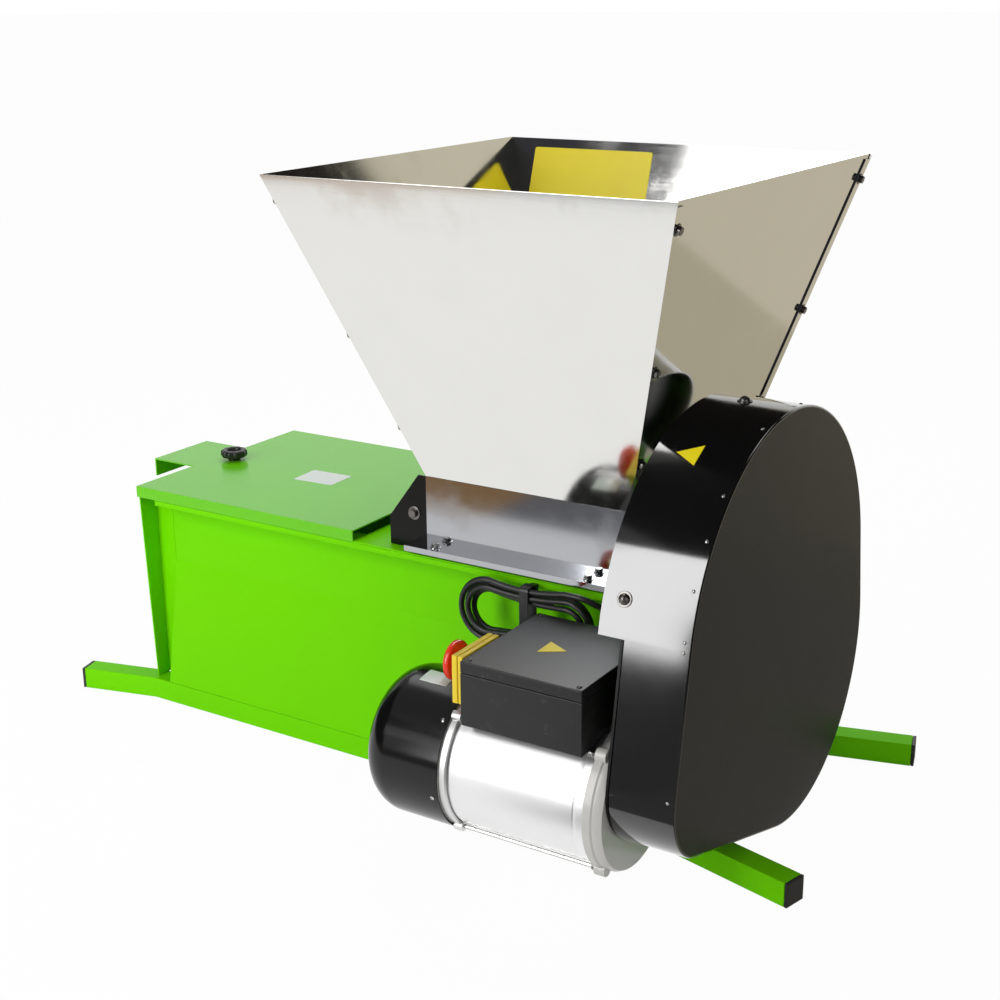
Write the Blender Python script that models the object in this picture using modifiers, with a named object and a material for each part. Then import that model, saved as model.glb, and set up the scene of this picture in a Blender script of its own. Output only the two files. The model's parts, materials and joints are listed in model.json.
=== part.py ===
"""Electric grape crusher and destemmer, modelled in metres with +Z up.

The machine's long axis is X: stems leave at the low X end and the belt guard is at the high X end.
Grapes fall through the hopper and its neck between two lobed rollers, a pegged beater throws them
through a perforated trough, and a motor under the guard's near edge drives everything by one belt.
Stations along X are measured from the hopper's upper left edge, heights from the floor, and Y from
the plane through the beater. One empty then moves the whole machine, so that the world's origin is
the middle of its footprint on the floor.
"""

import math

import bmesh
import bpy
from mathutils import Matrix, Vector
from mathutils.geometry import interpolate_bezier

# Clearances and stock
GAP = 0.0003
OVERRUN = 0.004
WELD = 0.00001
SHEET = 0.002
STAINLESS_SHEET = 0.0015
PLATE = 0.003

# Flats round a full turn: rods, large turned pieces, small turned pieces and holes
ROD_SIDES = 20
LARGE_SIDES = 40
SMALL_SIDES = 24
HOLE_SIDES = 10

# Body housing, a folded sheet trough on two feet tubes
BODY_LEFT = -0.335
BODY_RIGHT = 0.510
BODY_TOP = 0.3005
BODY_HALF_WIDTH = 0.169
RAIL_WIDTH = 0.035
RAIL_LIP = 0.007
CREASE_DROP = 0.0955
END_RETURN = 0.031
END_FOOT_INSET = 0.011
OUTLET_HALF_WIDTH = 0.052
OUTLET_SILL_RISE = 0.062
OUTLET_HEAD_DROP = 0.009

# Square feet tubes, bent outwards at both ends
TUBE_SIDE = 0.030
TUBE_WALL = 0.002
TUBE_INSET = 0.0025
TUBE_BEND_LEFT = -0.336
TUBE_BEND_RIGHT = 0.468
TUBE_SPLAY_DEGREES = 14.5
TUBE_LEFT_REACH = 0.112
TUBE_RIGHT_REACH = 0.182
CAP_FLANGE = 0.004
CAP_PLUG_DEPTH = 0.018

# Lid over the destemmer, with the stem hood at its end
LID_LEFT = -0.337
LID_RIGHT = 0.035
LID_LIP = 0.0155
HOOD_REACH = 0.075
HOOD_HALF_WIDTH = 0.055
HOOD_LIP = 0.026
KNOB_FROM_END = 0.029
KNOB_RADIUS = 0.019
KNOB_HEIGHT = 0.015
KNOB_LOBES = 10
KNOB_LOBE_DEPTH = 0.0012
KNOB_BOSS_RADIUS = 0.009
KNOB_BOSS_HEIGHT = 0.004
KNOB_RECESS_RADIUS = 0.010
KNOB_RECESS_DEPTH = 0.004
STUD_RADIUS = 0.004
STUD_PLAY = 0.0006
STUD_HOLE_PLAY = 0.0015
STUD_REACH = 0.010
STUD_SHELF = 0.046
STUD_SHELF_HALF_WIDTH = 0.018
STUD_SHELF_DROP = 0.002

# Deck, neck and hopper
NECK_LEFT = 0.138
NECK_LENGTH = 0.2796
NECK_INSET = 0.0164
NECK_HEIGHT = 0.0965
FLANGE_HEIGHT = 0.0125
FLANGE_WIDTH = 0.0255
FLANGE_LIP = 0.007
FLANGE_LEFT_REACH = 0.017
HOPPER_RISE = 0.364
HOPPER_LEFT_FLARE = 0.138
HOPPER_RIGHT_FLARE = 0.1074
HOPPER_SIDE_FLARE = 0.1154
SEAM_FLANGE = 0.016
SEAM_TOP_SHARE = 0.985
SEAM_FOOT_SHARE = 0.03
MITRE_PLAY = 0.0004

# Crushing rollers and their guides
ROLLER_CENTRE_DISTANCE = 0.100
ROLLER_LIFT = 0.02938
ROLLER_MEAN_RADIUS = 0.0465
ROLLER_LOBE = 0.006
ROLLER_LOBES = 5
ROLLER_END_PLAY = 0.003
ROLLER_SHAFT_RADIUS = 0.010
ROLLER_SHAFT_REACH = 0.020
BUSH_WALL = 0.011
BUSH_LENGTH = 0.012
BUSH_FLANGE = 0.006
BUSH_FLANGE_THICK = 0.003
GUIDE_TOP_DROP = 0.006
GUIDE_SLOPE_DROP = 0.040
GUIDE_FOOT_PLAY = 0.006
BRACKET_REACH = 0.056
BRACKET_TOP_RISE = 0.0955
BRACKET_TIP = 0.012
BRACKET_TOE_RISE = 0.037
BRACKET_FOOT = 0.016

# Beater and its perforated trough; the gears set its height
BEATER_SHAFT_RADIUS = 0.0125
BEATER_SHAFT_REACH = 0.008
PEG_RADIUS = 0.005
PEG_CLEARANCE = 0.0165
PEG_COUNT = 18
PEG_TURNS = 2.25
PEG_END_MARGIN = 0.045
GRATE_FLANGE = 0.0175
GRATE_HOLE_RADIUS = 0.012
GRATE_HOLE_PITCH = 0.070
GRATE_HOLES_ROUND = 4
GRATE_SPAN_DEGREES = 140.0
GRATE_END_PLAY = 0.0006
GRATE_STEPS = 18

# Gears, pulleys and belt, in three planes inside the guard
MODULE = 0.005
PINION_TEETH = 16
DRIVEN_TEETH = 52
ROLLER_TEETH = 20
ADDENDUM_SHARE = 0.9
DEDENDUM_SHARE = 1.2
TOOTH_ROOT_SHARE = 0.30
TOOTH_TIP_SHARE = 0.12
GEAR_FACE = 0.012
GEAR_HUB_RADIUS = 0.020
LIGHTENING_HOLES = 5
LIGHTENING_RADIUS = 0.022
LIGHTENING_CIRCLE = 0.075
PLANE_PLAY = 0.004
BELT_WIDTH = 0.010
BELT_THICK = 0.008
BELT_SEAT = 0.0012
PULLEY_WIDTH = 0.016
GROOVE_SIDE_PLAY = 0.0008
GROOVE_FLARE = 0.0012
PULLEY_RIM = 0.010
BIG_PULLEY_RADIUS = 0.115
SMALL_PULLEY_RADIUS = 0.034
PULLEY_HUB_RADIUS = 0.022
PULLEY_WEB = 0.006
SPOKE_WINDOWS = 5
SPOKE_WINDOW_RADIUS = 0.020
SPOKE_CIRCLE = 0.064

# Motor, hung on the guard's back plate beside the body
MOTOR_Y = -0.300
MOTOR_HEIGHT = 0.137
COWL_LEFT = 0.197
COWL_LENGTH = 0.111
COWL_RADIUS = 0.087
COWL_FILLET = 0.038
COWL_WALL = 0.002
COWL_VENT_RADIUS = 0.0055
COWL_VENT_CIRCLE = 0.034
COWL_VENT_COUNT = 10
COWL_FILLET_STEPS = 5
FRAME_RADIUS = 0.080
FRAME_FINS = 28
FIN_DEPTH = 0.0025
SHIELD_RADIUS = 0.084
SHIELD_THICK = 0.022
REAR_SHIELD_THICK = 0.014
LUG_RADIUS = 0.008
LUG_CIRCLE = 0.083
LUG_COUNT = 4
LUG_SPREAD_DEGREES = 53.0
LUG_LENGTH = 0.014
MOTOR_SHAFT_RADIUS = 0.0095
FAN_RADIUS = 0.068
FAN_LENGTH = 0.028
FAN_BLADES = 8
FAN_BLADE_THICK = 0.003
FAN_HUB_RADIUS = 0.018
FAN_PLAY = 0.010

# Terminal box with its switch
BOX_LEFT = 0.3305
BOX_LENGTH = 0.150
BOX_NEAR = -0.3700
BOX_WIDTH = 0.163
BOX_FLOOR = 0.205
BOX_HEIGHT = 0.061
BOX_LID_HEIGHT = 0.0137
BOX_BEVEL = 0.003
SWITCH_WIDTH = 0.074
SWITCH_HEIGHT = 0.056
SWITCH_DEPTH = 0.0068
SWITCH_CENTRE_Y = -0.327
SWITCH_RISE = 0.0015
SWITCH_PLAY = 0.0006
FLAP_DEPTH = 0.007
FLAP_LIP = 0.0025
MUSHROOM_RADIUS = 0.0225
MUSHROOM_RISE = 0.0045
MUSHROOM_RIM = 0.005
MUSHROOM_DOME = 0.006
MUSHROOM_DOME_STEPS = 4
MUSHROOM_STEM_RADIUS = 0.009
MUSHROOM_STANDOFF = 0.0154
BUTTON_SIDE = 0.014
BUTTON_SPACING = 0.022
BUTTON_STANDOUT = 0.002
BUTTON_DEPTH = 0.004
BUTTON_PLAY = 0.0005

# Belt guard, a deep cover on a plate
GUARD_FRONT = 0.590
GUARD_RIM_DEPTH = 0.0745
GUARD_TAB_DEPTH = 0.105
GUARD_TAB_FLOOR = 0.330
GUARD_SHEET = 0.0015
GUARD_TOP_Y = -0.111
GUARD_TOP_HEIGHT = 0.293
GUARD_TOP_RADIUS = 0.239
GUARD_LOW_Y = -0.049
GUARD_LOW_HEIGHT = 0.2115
GUARD_LOW_RADIUS = 0.190
GUARD_MOTOR_Y = -0.301
GUARD_MOTOR_HEIGHT = 0.1695
GUARD_MOTOR_RADIUS = 0.074
ARC_STEP_DEGREES = 7.5
CORNER_STEP_DEGREES = 30.0

# Power lead, folded into a hank behind the terminal box
LEAD_RADIUS = 0.0035
HANK_LEFT = 0.206
HANK_RUN = 0.105
HANK_INNER_RADIUS = 0.0225
HANK_STEP = 0.0092
HANK_LAYER_STEP = 0.0090
HANK_TURNS_IN = 2
HANK_LOOP_POINTS = 24
HANK_RUN_POINTS = 4
HANK_WAIST_SHARE = 0.14
HANK_FIRST_Y = -0.1900
HANK_HEIGHT = 0.2600
GLAND_LENGTH = 0.020
GLAND_ROOT_RADIUS = 0.0085
GLAND_TIP_RADIUS = 0.0052
GLAND_FROM_RIGHT = 0.015
GLAND_HEIGHT = 0.2534
PLUG_RADIUS = 0.018
PLUG_LENGTH = 0.038
PLUG_BOOT = 0.022
PLUG_BOOT_TIP_RADIUS = 0.0055
PLUG_PIN_RADIUS = 0.0024
PLUG_PIN_LENGTH = 0.019
PLUG_PIN_SPACING = 0.019
TIE_WIDTH = 0.012
TIE_THICK = 0.0015
TIE_SLACK = 0.0008
CLIP_HEIGHT = 0.009
CLIP_TOP_DROP = 0.001
TAIL_LENGTH = 0.045
# The free stretch bends twice and passes a middle point, placed by shares of the way along X and
# up Z from the gland to the hank and by its own distance along Y, at this angle from -X to -Y
LEAD_MIDDLE_X_SHARE = 0.553
LEAD_MIDDLE_Z_SHARE = 0.630
LEAD_MIDDLE_Y = 0.0159
LEAD_MIDDLE_DEGREES = 54.0
LEAD_HANDLES = (0.0337, 0.0364, 0.0192, 0.0222)
LEAD_POINTS = 7

# Worked out from the sizes above
DECK_TOP = BODY_TOP + GAP + SHEET
NECK_FOOT = DECK_TOP + GAP
NECK_TOP = NECK_FOOT + NECK_HEIGHT
HOPPER_FOOT = NECK_TOP + GAP
HOPPER_TOP = HOPPER_FOOT + HOPPER_RISE
NECK_RIGHT = NECK_LEFT + NECK_LENGTH
LID_TOP = BODY_TOP + GAP + LID_LIP
TUBE_TOP = TUBE_SIDE
WALL_Y = BODY_HALF_WIDTH - RAIL_WIDTH
GRATE_RADIUS = WALL_Y - GRATE_FLANGE
PEG_REACH = GRATE_RADIUS - PEG_CLEARANCE
END_FOOT_HALF_WIDTH = BODY_HALF_WIDTH - END_FOOT_INSET
TUBE_OUTER_Y = BODY_HALF_WIDTH - TUBE_INSET
TUBE_CENTRE_Y = TUBE_OUTER_Y - TUBE_SIDE / 2
SPLAY = math.radians(TUBE_SPLAY_DEGREES)
ROLLER_Y = ROLLER_CENTRE_DISTANCE / 2
GEAR_CENTRE_DISTANCE = MODULE * (PINION_TEETH + DRIVEN_TEETH) / 2
ROLLER_RISE = math.sqrt(GEAR_CENTRE_DISTANCE**2 - ROLLER_Y**2)
ROLLER_HEIGHT = NECK_FOOT + ROLLER_LIFT
BEATER_HEIGHT = ROLLER_HEIGHT - ROLLER_RISE
BACK_PLATE_LEFT = BODY_RIGHT + GAP
BACK_PLATE_RIGHT = BACK_PLATE_LEFT + PLATE
ROLLER_GEAR_LEFT = BACK_PLATE_RIGHT + PLANE_PLAY
ROLLER_GEAR_RIGHT = ROLLER_GEAR_LEFT + GEAR_FACE
DRIVEN_GEAR_LEFT = ROLLER_GEAR_RIGHT + PLANE_PLAY
DRIVEN_GEAR_RIGHT = DRIVEN_GEAR_LEFT + GEAR_FACE
PULLEY_LEFT = DRIVEN_GEAR_RIGHT + PLANE_PLAY
PULLEY_RIGHT = PULLEY_LEFT + PULLEY_WIDTH
SHAFT_END = PULLEY_RIGHT + PLANE_PLAY
SHIELD_LEFT = BACK_PLATE_LEFT - GAP - SHIELD_THICK
COWL_RIGHT = COWL_LEFT + COWL_LENGTH
BOX_RIGHT = BOX_LEFT + BOX_LENGTH
BOX_FAR = BOX_NEAR + BOX_WIDTH
BOX_TOP = BOX_FLOOR + BOX_HEIGHT
BOX_LID_TOP = BOX_TOP + GAP + BOX_LID_HEIGHT
SWITCH_CENTRE_HEIGHT = BOX_LID_TOP + SWITCH_RISE - SWITCH_HEIGHT / 2
HOPPER_LEFT = NECK_LEFT - HOPPER_LEFT_FLARE
HOPPER_RIGHT = NECK_RIGHT + HOPPER_RIGHT_FLARE
NECK_HALF_WIDTH = BODY_HALF_WIDTH - NECK_INSET
HOPPER_HALF_WIDTH = NECK_HALF_WIDTH + HOPPER_SIDE_FLARE
TUBE_LEFT_END = TUBE_BEND_LEFT - TUBE_LEFT_REACH
TUBE_RIGHT_END = TUBE_BEND_RIGHT + TUBE_RIGHT_REACH
ORIGIN_X = (TUBE_LEFT_END + TUBE_RIGHT_END) / 2
ORIGIN_Y = (HOPPER_HALF_WIDTH + MOTOR_Y - COWL_RADIUS) / 2

# Turns a flat outline drawn in (Y, Z) so that its thickness runs along +X
ALONG_X = Matrix(((0, 0, 1, 0), (1, 0, 0, 0), (0, 1, 0, 0), (0, 0, 0, 1)))
# Turns a flat outline drawn in (X, Z) so that its thickness runs along Y
ALONG_Y = Matrix(((1, 0, 0, 0), (0, 0, -1, 0), (0, 1, 0, 0), (0, 0, 0, 1)))
ALONG_Z = Matrix.Identity(4)

COLOURS = {
    "green": ((0.155, 0.745, 0.0), 0.32, 0.0),
    "stainless": ((0.78, 0.78, 0.76), 0.16, 1.0),
    "black_sheet": ((0.02, 0.02, 0.02), 0.25, 0.0),
    "black_plastic": ((0.03, 0.03, 0.032), 0.5, 0.0),
    "aluminium": ((0.80, 0.81, 0.82), 0.38, 1.0),
    "steel": ((0.45, 0.45, 0.46), 0.35, 1.0),
    "rubber": ((0.018, 0.018, 0.018), 0.7, 0.0),
    "yellow_plastic": ((1.0, 0.52, 0.01), 0.4, 0.0),
    "red_plastic": ((0.75, 0.03, 0.01), 0.35, 0.0),
    "green_plastic": ((0.02, 0.35, 0.06), 0.4, 0.0),
    "roller_plastic": ((0.55, 0.55, 0.53), 0.5, 0.0),
}


def clear_scene():
    for item in list(bpy.data.objects):
        bpy.data.objects.remove(item, do_unlink=True)


def make_material(name):
    colour, roughness, metallic = COLOURS[name]
    material = bpy.data.materials.new(name)
    material.use_nodes = True
    shader = material.node_tree.nodes["Principled BSDF"]
    shader.inputs["Base Color"].default_value = (*colour, 1.0)
    shader.inputs["Roughness"].default_value = roughness
    shader.inputs["Metallic"].default_value = metallic
    material.diffuse_color = (*colour, 1.0)
    return material


class Workshop:
    """Holds the collections, the materials and the empty that carries the machine."""

    def __init__(self):
        self.parts = bpy.data.collections.new("grape_crusher")
        self.cutters = bpy.data.collections.new("cutters")
        for collection in (self.parts, self.cutters):
            bpy.context.scene.collection.children.link(collection)
        self.materials = {name: make_material(name) for name in COLOURS}
        self.root = bpy.data.objects.new("machine_origin", None)
        self.root.location = (-ORIGIN_X, -ORIGIN_Y, 0)
        self.parts.objects.link(self.root)

    def adopt(self, name, data, material=None, matrix=None):
        """Makes an object of mesh data, a piece with a material or a cutter without one."""
        item = bpy.data.objects.new(name, data)
        item.parent = self.root
        item.matrix_basis = matrix or Matrix.Identity(4)
        if material:
            self.parts.objects.link(item)
            data.materials.clear()
            data.materials.append(self.materials[material])
        else:
            self.cutters.objects.link(item)
            item.hide_render = True
            item.display_type = "WIRE"
        return item


def smooth(item, degrees=35):
    item.data.shade_smooth()
    item.data.set_sharp_from_angle(angle=math.radians(degrees))


def mesh_from(name, build):
    """Runs a function on an empty bmesh and returns the mesh it made."""
    data = bpy.data.meshes.new(name)
    work = bmesh.new()
    build(work)
    bmesh.ops.recalc_face_normals(work, faces=work.faces)
    work.to_mesh(data)
    work.free()
    return data


def box_mesh(name, x_range, y_range, z_range):
    low = Vector((x_range[0], y_range[0], z_range[0]))
    high = Vector((x_range[1], y_range[1], z_range[1]))
    size = high - low

    def build(work):
        scale = Matrix.Diagonal((*size, 1))
        bmesh.ops.create_cube(work, size=1, matrix=Matrix.Translation((low + high) / 2) @ scale)

    return mesh_from(name, build)


def box(shop, name, material, x_range, y_range, z_range):
    return shop.adopt(name, box_mesh(name, x_range, y_range, z_range), material)


def rod_mesh(name, radius, low, high, sides):
    """A cylinder about its own Z axis, from low to high."""

    def build(work):
        place = Matrix.Translation((0, 0, (low + high) / 2))
        bmesh.ops.create_cone(
            work, cap_ends=True, segments=sides, radius1=radius, radius2=radius,
            depth=high - low, matrix=place,
        )

    return mesh_from(name, build)


def rod(shop, name, material, radius, low, high, centre, along=ALONG_X, sides=ROD_SIDES):
    """A cylinder whose low and high are stations along its axis and centre the other two."""
    item = shop.adopt(name, rod_mesh(name, radius, low, high, sides), material)
    item.matrix_basis = Matrix.Translation(centre) @ along
    return item


def prism(shop, name, material, outlines, low, high, along=ALONG_Z, centre=(0, 0, 0)):
    """A flat outline, with any inner outlines as holes, given a thickness from low to high."""
    curve = bpy.data.curves.new(name, "CURVE")
    curve.dimensions = "2D"
    curve.fill_mode = "BOTH"
    curve.extrude = (high - low) / 2
    for points in outlines:
        spline = curve.splines.new("POLY")
        spline.points.add(len(points) - 1)
        for point, (u, v) in zip(spline.points, points):
            point.co = (u, v, 0, 1)
        spline.use_cyclic_u = True
    drawn = bpy.data.objects.new(name, curve)
    bpy.context.scene.collection.objects.link(drawn)
    matrix = Matrix.Translation(centre) @ along @ Matrix.Translation((0, 0, (low + high) / 2))
    return settle_curve(shop, name, material, drawn, matrix)


def settle_curve(shop, name, material, drawn, matrix):
    """Turns a curve object into a closed mesh object and removes the curve."""
    bpy.context.view_layer.update()
    graph = bpy.context.evaluated_depsgraph_get()
    data = bpy.data.meshes.new_from_object(drawn.evaluated_get(graph))
    data.name = name
    bpy.data.objects.remove(drawn, do_unlink=True)
    work = bmesh.new()
    work.from_mesh(data)
    bmesh.ops.remove_doubles(work, verts=work.verts, dist=WELD)
    bmesh.ops.recalc_face_normals(work, faces=work.faces)
    work.to_mesh(data)
    work.free()
    return shop.adopt(name, data, material, matrix)


def turned(shop, name, material, profile, centre, along=ALONG_X, steps=LARGE_SIDES, ring=False):
    """A profile of (radius, station) pairs, read down its outer side, turned about its axis."""
    data = bpy.data.meshes.new(name)
    points = [(radius, 0, station) for radius, station in profile]
    edges = [(index, index + 1) for index in range(len(points) - 1)]
    if ring:
        edges.append((len(points) - 1, 0))
    data.from_pydata(points, edges, [])
    item = shop.adopt(name, data, material, Matrix.Translation(centre) @ along)
    screw = item.modifiers.new("turn", "SCREW")
    screw.axis = "Z"
    screw.steps = steps
    screw.render_steps = steps
    screw.use_merge_vertices = True
    screw.merge_threshold = WELD
    return item


def folded(shop, name, material, section, thickness, low, high, along):
    """An open line of (u, v) points swept from low to high, with the sheet on its right side."""
    data = bpy.data.meshes.new(name)
    count = len(section)
    rows = [(u, v, station) for station in (low, high) for u, v in section]
    faces = [(i, i + 1, count + i + 1, count + i) for i in range(count - 1)]
    data.from_pydata(rows, [], faces)
    item = shop.adopt(name, data, material, along.copy())
    skin = item.modifiers.new("thickness", "SOLIDIFY")
    skin.thickness = thickness
    skin.offset = 1
    skin.use_even_offset = True
    return item


def bake(item):
    """Applies an object's modifiers, so that it can be joined or cut again."""
    bpy.context.view_layer.update()
    graph = bpy.context.evaluated_depsgraph_get()
    data = bpy.data.meshes.new_from_object(item.evaluated_get(graph))
    item.modifiers.clear()
    item.data = data
    return item


def combine(item, others, operation):
    """Joins other objects to one, or cuts them from it, one Boolean after the other."""
    for other in others:
        change = item.modifiers.new(operation.lower(), "BOOLEAN")
        change.operation = operation
        change.object = other
        change.solver = "EXACT"
        bake(item)
        bpy.data.objects.remove(other, do_unlink=True)
    return item


def cut(item, *others):
    return combine(item, others, "DIFFERENCE")


def join(item, *others):
    return combine(item, others, "UNION")


def many_rods(shop, name, places, radius, low, high, sides):
    """One cutter or joiner made of equal rods, each along the Z axis of its own matrix."""

    def build(work):
        for place in places:
            middle = place @ Matrix.Translation((0, 0, (low + high) / 2))
            bmesh.ops.create_cone(
                work, cap_ends=True, segments=sides, radius1=radius, radius2=radius,
                depth=high - low, matrix=middle,
            )

    return shop.adopt(name, mesh_from(name, build))


def ring_places(centre, radius, count, along=ALONG_X, start_degrees=0.0):
    """Matrices of equally spaced axes on a circle about centre."""
    places = []
    for index in range(count):
        angle = math.radians(start_degrees) + math.tau * index / count
        shift = Matrix.Translation((radius * math.cos(angle), radius * math.sin(angle), 0))
        places.append(Matrix.Translation(centre) @ along @ shift)
    return places


def arc_points(centre, radius, start, end, step_degrees=ARC_STEP_DEGREES):
    """Points on an arc from one angle to another, both included."""
    count = max(1, math.ceil(abs(end - start) / math.radians(step_degrees)))
    points = []
    for index in range(count + 1):
        angle = start + (end - start) * index / count
        points.append((centre[0] + radius * math.cos(angle), centre[1] + radius * math.sin(angle)))
    return points


def wrap_outline(circles, step_degrees=ARC_STEP_DEGREES):
    """The outline of a band stretched round circles, listed anticlockwise as (u, v, radius)."""
    count = len(circles)
    normals = []
    for index, (u, v, radius) in enumerate(circles):
        next_u, next_v, next_radius = circles[(index + 1) % count]
        run_u, run_v = next_u - u, next_v - v
        heading = math.atan2(run_v, run_u)
        lean = math.asin((next_radius - radius) / math.hypot(run_u, run_v))
        normals.append(heading - math.pi / 2 - lean)
    points = []
    for index, (u, v, radius) in enumerate(circles):
        start = normals[index - 1]
        end = normals[index]
        while end < start:
            end += math.tau
        points += arc_points((u, v), radius, start, end, step_degrees)
    return points


def gear_outline(teeth):
    """Straight-sided teeth on the pitch circle of the shared module, the first on the +U axis."""
    pitch_radius = MODULE * teeth / 2
    tip = pitch_radius + ADDENDUM_SHARE * MODULE
    root = pitch_radius - DEDENDUM_SHARE * MODULE
    step = math.tau / teeth
    points = []
    for tooth in range(teeth):
        for radius, share in (
            (root, -TOOTH_ROOT_SHARE), (tip, -TOOTH_TIP_SHARE),
            (tip, TOOTH_TIP_SHARE), (root, TOOTH_ROOT_SHARE),
        ):
            angle = step * (tooth + share)
            points.append((radius * math.cos(angle), radius * math.sin(angle)))
    return points


def circle_outline(radius, centre=(0, 0), sides=ROD_SIDES):
    return [
        (centre[0] + radius * math.cos(math.tau * i / sides),
         centre[1] + radius * math.sin(math.tau * i / sides))
        for i in range(sides)
    ]


def plane_matrix(origin, along_u, toward_v):
    """A frame whose U axis runs along one edge of a flat panel and whose V axis lies in it."""
    u = Vector(along_u).normalized()
    v = Vector(toward_v)
    v = (v - v.dot(u) * u).normalized()
    w = u.cross(v)
    return Matrix.Translation(origin) @ Matrix((u, v, w)).transposed().to_4x4()


def flat_panel(shop, name, material, corners, thickness, inward):
    """A sheet whose outer face has the given corners and whose thickness lies inwards."""
    origin = Vector(corners[0])
    matrix = plane_matrix(origin, Vector(corners[1]) - origin, Vector(corners[-1]) - origin)
    flat = matrix.inverted()
    outline = [tuple((flat @ Vector(corner))[:2]) for corner in corners]
    side = 1 if (flat.to_3x3() @ Vector(inward)).z > 0 else -1
    low, high = sorted((0, side * thickness))
    return prism(shop, name, material, [outline], low, high, matrix)


def build_body(shop):
    """Side panels, end plates, deck, and the feet that carry them."""
    panel_left = BODY_LEFT + END_RETURN
    panel_right = BODY_RIGHT - SHEET - GAP
    foot_y = TUBE_OUTER_Y - SHEET
    for name, side in (("side_panel_near", -1), ("side_panel_far", 1)):
        section = [
            (side * BODY_HALF_WIDTH, BODY_TOP - RAIL_LIP),
            (side * BODY_HALF_WIDTH, BODY_TOP),
            (side * WALL_Y, BODY_TOP),
            (side * WALL_Y, BODY_TOP - CREASE_DROP),
            (side * foot_y, TUBE_TOP + GAP),
        ]
        if side > 0:
            section.reverse()
        folded(shop, name, "green", section, SHEET, panel_left, panel_right, ALONG_X)
    build_end_plates(shop)
    build_deck(shop)
    for name, side in (("support_tube_near", -1), ("support_tube_far", 1)):
        build_tube(shop, name, side)


def build_end_plates(shop):
    top = BODY_TOP - GAP
    foot = TUBE_TOP + GAP
    edge = BODY_HALF_WIDTH - SHEET
    outline = [
        (-END_FOOT_HALF_WIDTH, foot), (END_FOOT_HALF_WIDTH, foot), (edge, top), (-edge, top),
    ]
    sill = BEATER_HEIGHT + OUTLET_SILL_RISE
    head = BODY_TOP - OUTLET_HEAD_DROP
    window = [
        (-OUTLET_HALF_WIDTH, sill), (OUTLET_HALF_WIDTH, sill),
        (OUTLET_HALF_WIDTH, head), (-OUTLET_HALF_WIDTH, head),
    ]
    shaft_hole = circle_outline(BEATER_SHAFT_RADIUS + GAP, (0, BEATER_HEIGHT))
    left = prism(
        shop, "outlet_end_plate", "green", [outline, window, shaft_hole],
        BODY_LEFT, BODY_LEFT + SHEET, ALONG_X,
    )
    returns = []
    for side in (-1, 1):
        outer = side * WALL_Y
        inner = side * (WALL_Y + SHEET)
        returns.append(box(
            shop, "end_return", None, (BODY_LEFT + SHEET / 2, BODY_LEFT + END_RETURN - GAP),
            sorted((outer, inner)), (foot, top),
        ))
    join(left, *returns)
    prism(
        shop, "drive_end_plate", "green", [outline, shaft_hole], BODY_RIGHT - SHEET, BODY_RIGHT,
        ALONG_X,
    )


def build_deck(shop):
    """The flat top between the lid and the guard, open under the neck."""
    edge = BODY_HALF_WIDTH
    left = LID_RIGHT + GAP
    half = NECK_HALF_WIDTH - STAINLESS_SHEET
    inner = NECK_LEFT + STAINLESS_SHEET
    outer = NECK_RIGHT - STAINLESS_SHEET
    outline = [(left, -edge), (BODY_RIGHT, -edge), (BODY_RIGHT, edge), (left, edge)]
    throat = min(half, WALL_Y)
    opening = [(inner, -throat), (outer, -throat), (outer, throat), (inner, throat)]
    prism(shop, "deck_plate", "green", [outline, opening], DECK_TOP - SHEET, DECK_TOP)


def tube_path(side, overrun):
    """Centre line of one foot, lengthened at both ends by an overrun."""
    lean = math.tan(SPLAY)
    left = TUBE_LEFT_REACH + overrun * math.cos(SPLAY)
    right = TUBE_RIGHT_REACH + overrun * math.cos(SPLAY)
    return [
        Vector((TUBE_BEND_LEFT - left, side * (TUBE_CENTRE_Y + left * lean))),
        Vector((TUBE_BEND_LEFT, side * TUBE_CENTRE_Y)),
        Vector((TUBE_BEND_RIGHT, side * TUBE_CENTRE_Y)),
        Vector((TUBE_BEND_RIGHT + right, side * (TUBE_CENTRE_Y + right * lean))),
    ]


def strip_outline(path, half_width):
    """Both edges of a strip along a path, mitred where the path bends."""
    left, right = [], []
    for index, point in enumerate(path):
        before = (point - path[index - 1]).normalized() if index else None
        after = (path[index + 1] - point).normalized() if index < len(path) - 1 else None
        heading = ((before or after) + (after or before)).normalized()
        reach = half_width / heading.dot(after or before)
        normal = Vector((-heading.y, heading.x)) * reach
        left.append(tuple(point + normal))
        right.append(tuple(point - normal))
    return left + right[::-1]


def build_tube(shop, name, side):
    tube = prism(
        shop, name, "green", [strip_outline(tube_path(side, 0), TUBE_SIDE / 2)], 0, TUBE_SIDE,
    )
    bore = prism(
        shop, "bore", None, [strip_outline(tube_path(side, OVERRUN), TUBE_SIDE / 2 - TUBE_WALL)],
        TUBE_WALL, TUBE_SIDE - TUBE_WALL,
    )
    cut(tube, bore)
    path = tube_path(side, 0)
    label = "near" if side < 0 else "far"
    for end, point, inward in (("left", path[0], path[1]), ("right", path[3], path[2])):
        build_tube_cap(shop, f"tube_cap_{label}_{end}", point, inward)


def build_tube_cap(shop, name, end, inward):
    """A square plug in a tube's end; its local X axis points out of the tube."""
    outward = (end - inward).normalized()
    turn = Matrix.Rotation(math.atan2(outward.y, outward.x), 4, "Z")
    half = TUBE_SIDE / 2
    plug = half - TUBE_WALL - GAP
    cap = box(shop, name, "black_plastic", (GAP, GAP + CAP_FLANGE), (-half, half), (-half, half))
    stem = box(shop, "stem", None, (-CAP_PLUG_DEPTH, GAP + CAP_FLANGE / 2), (-plug, plug), (-plug, plug))
    join(cap, stem)
    cap.matrix_basis = Matrix.Translation((end.x, end.y, half)) @ turn


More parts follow.
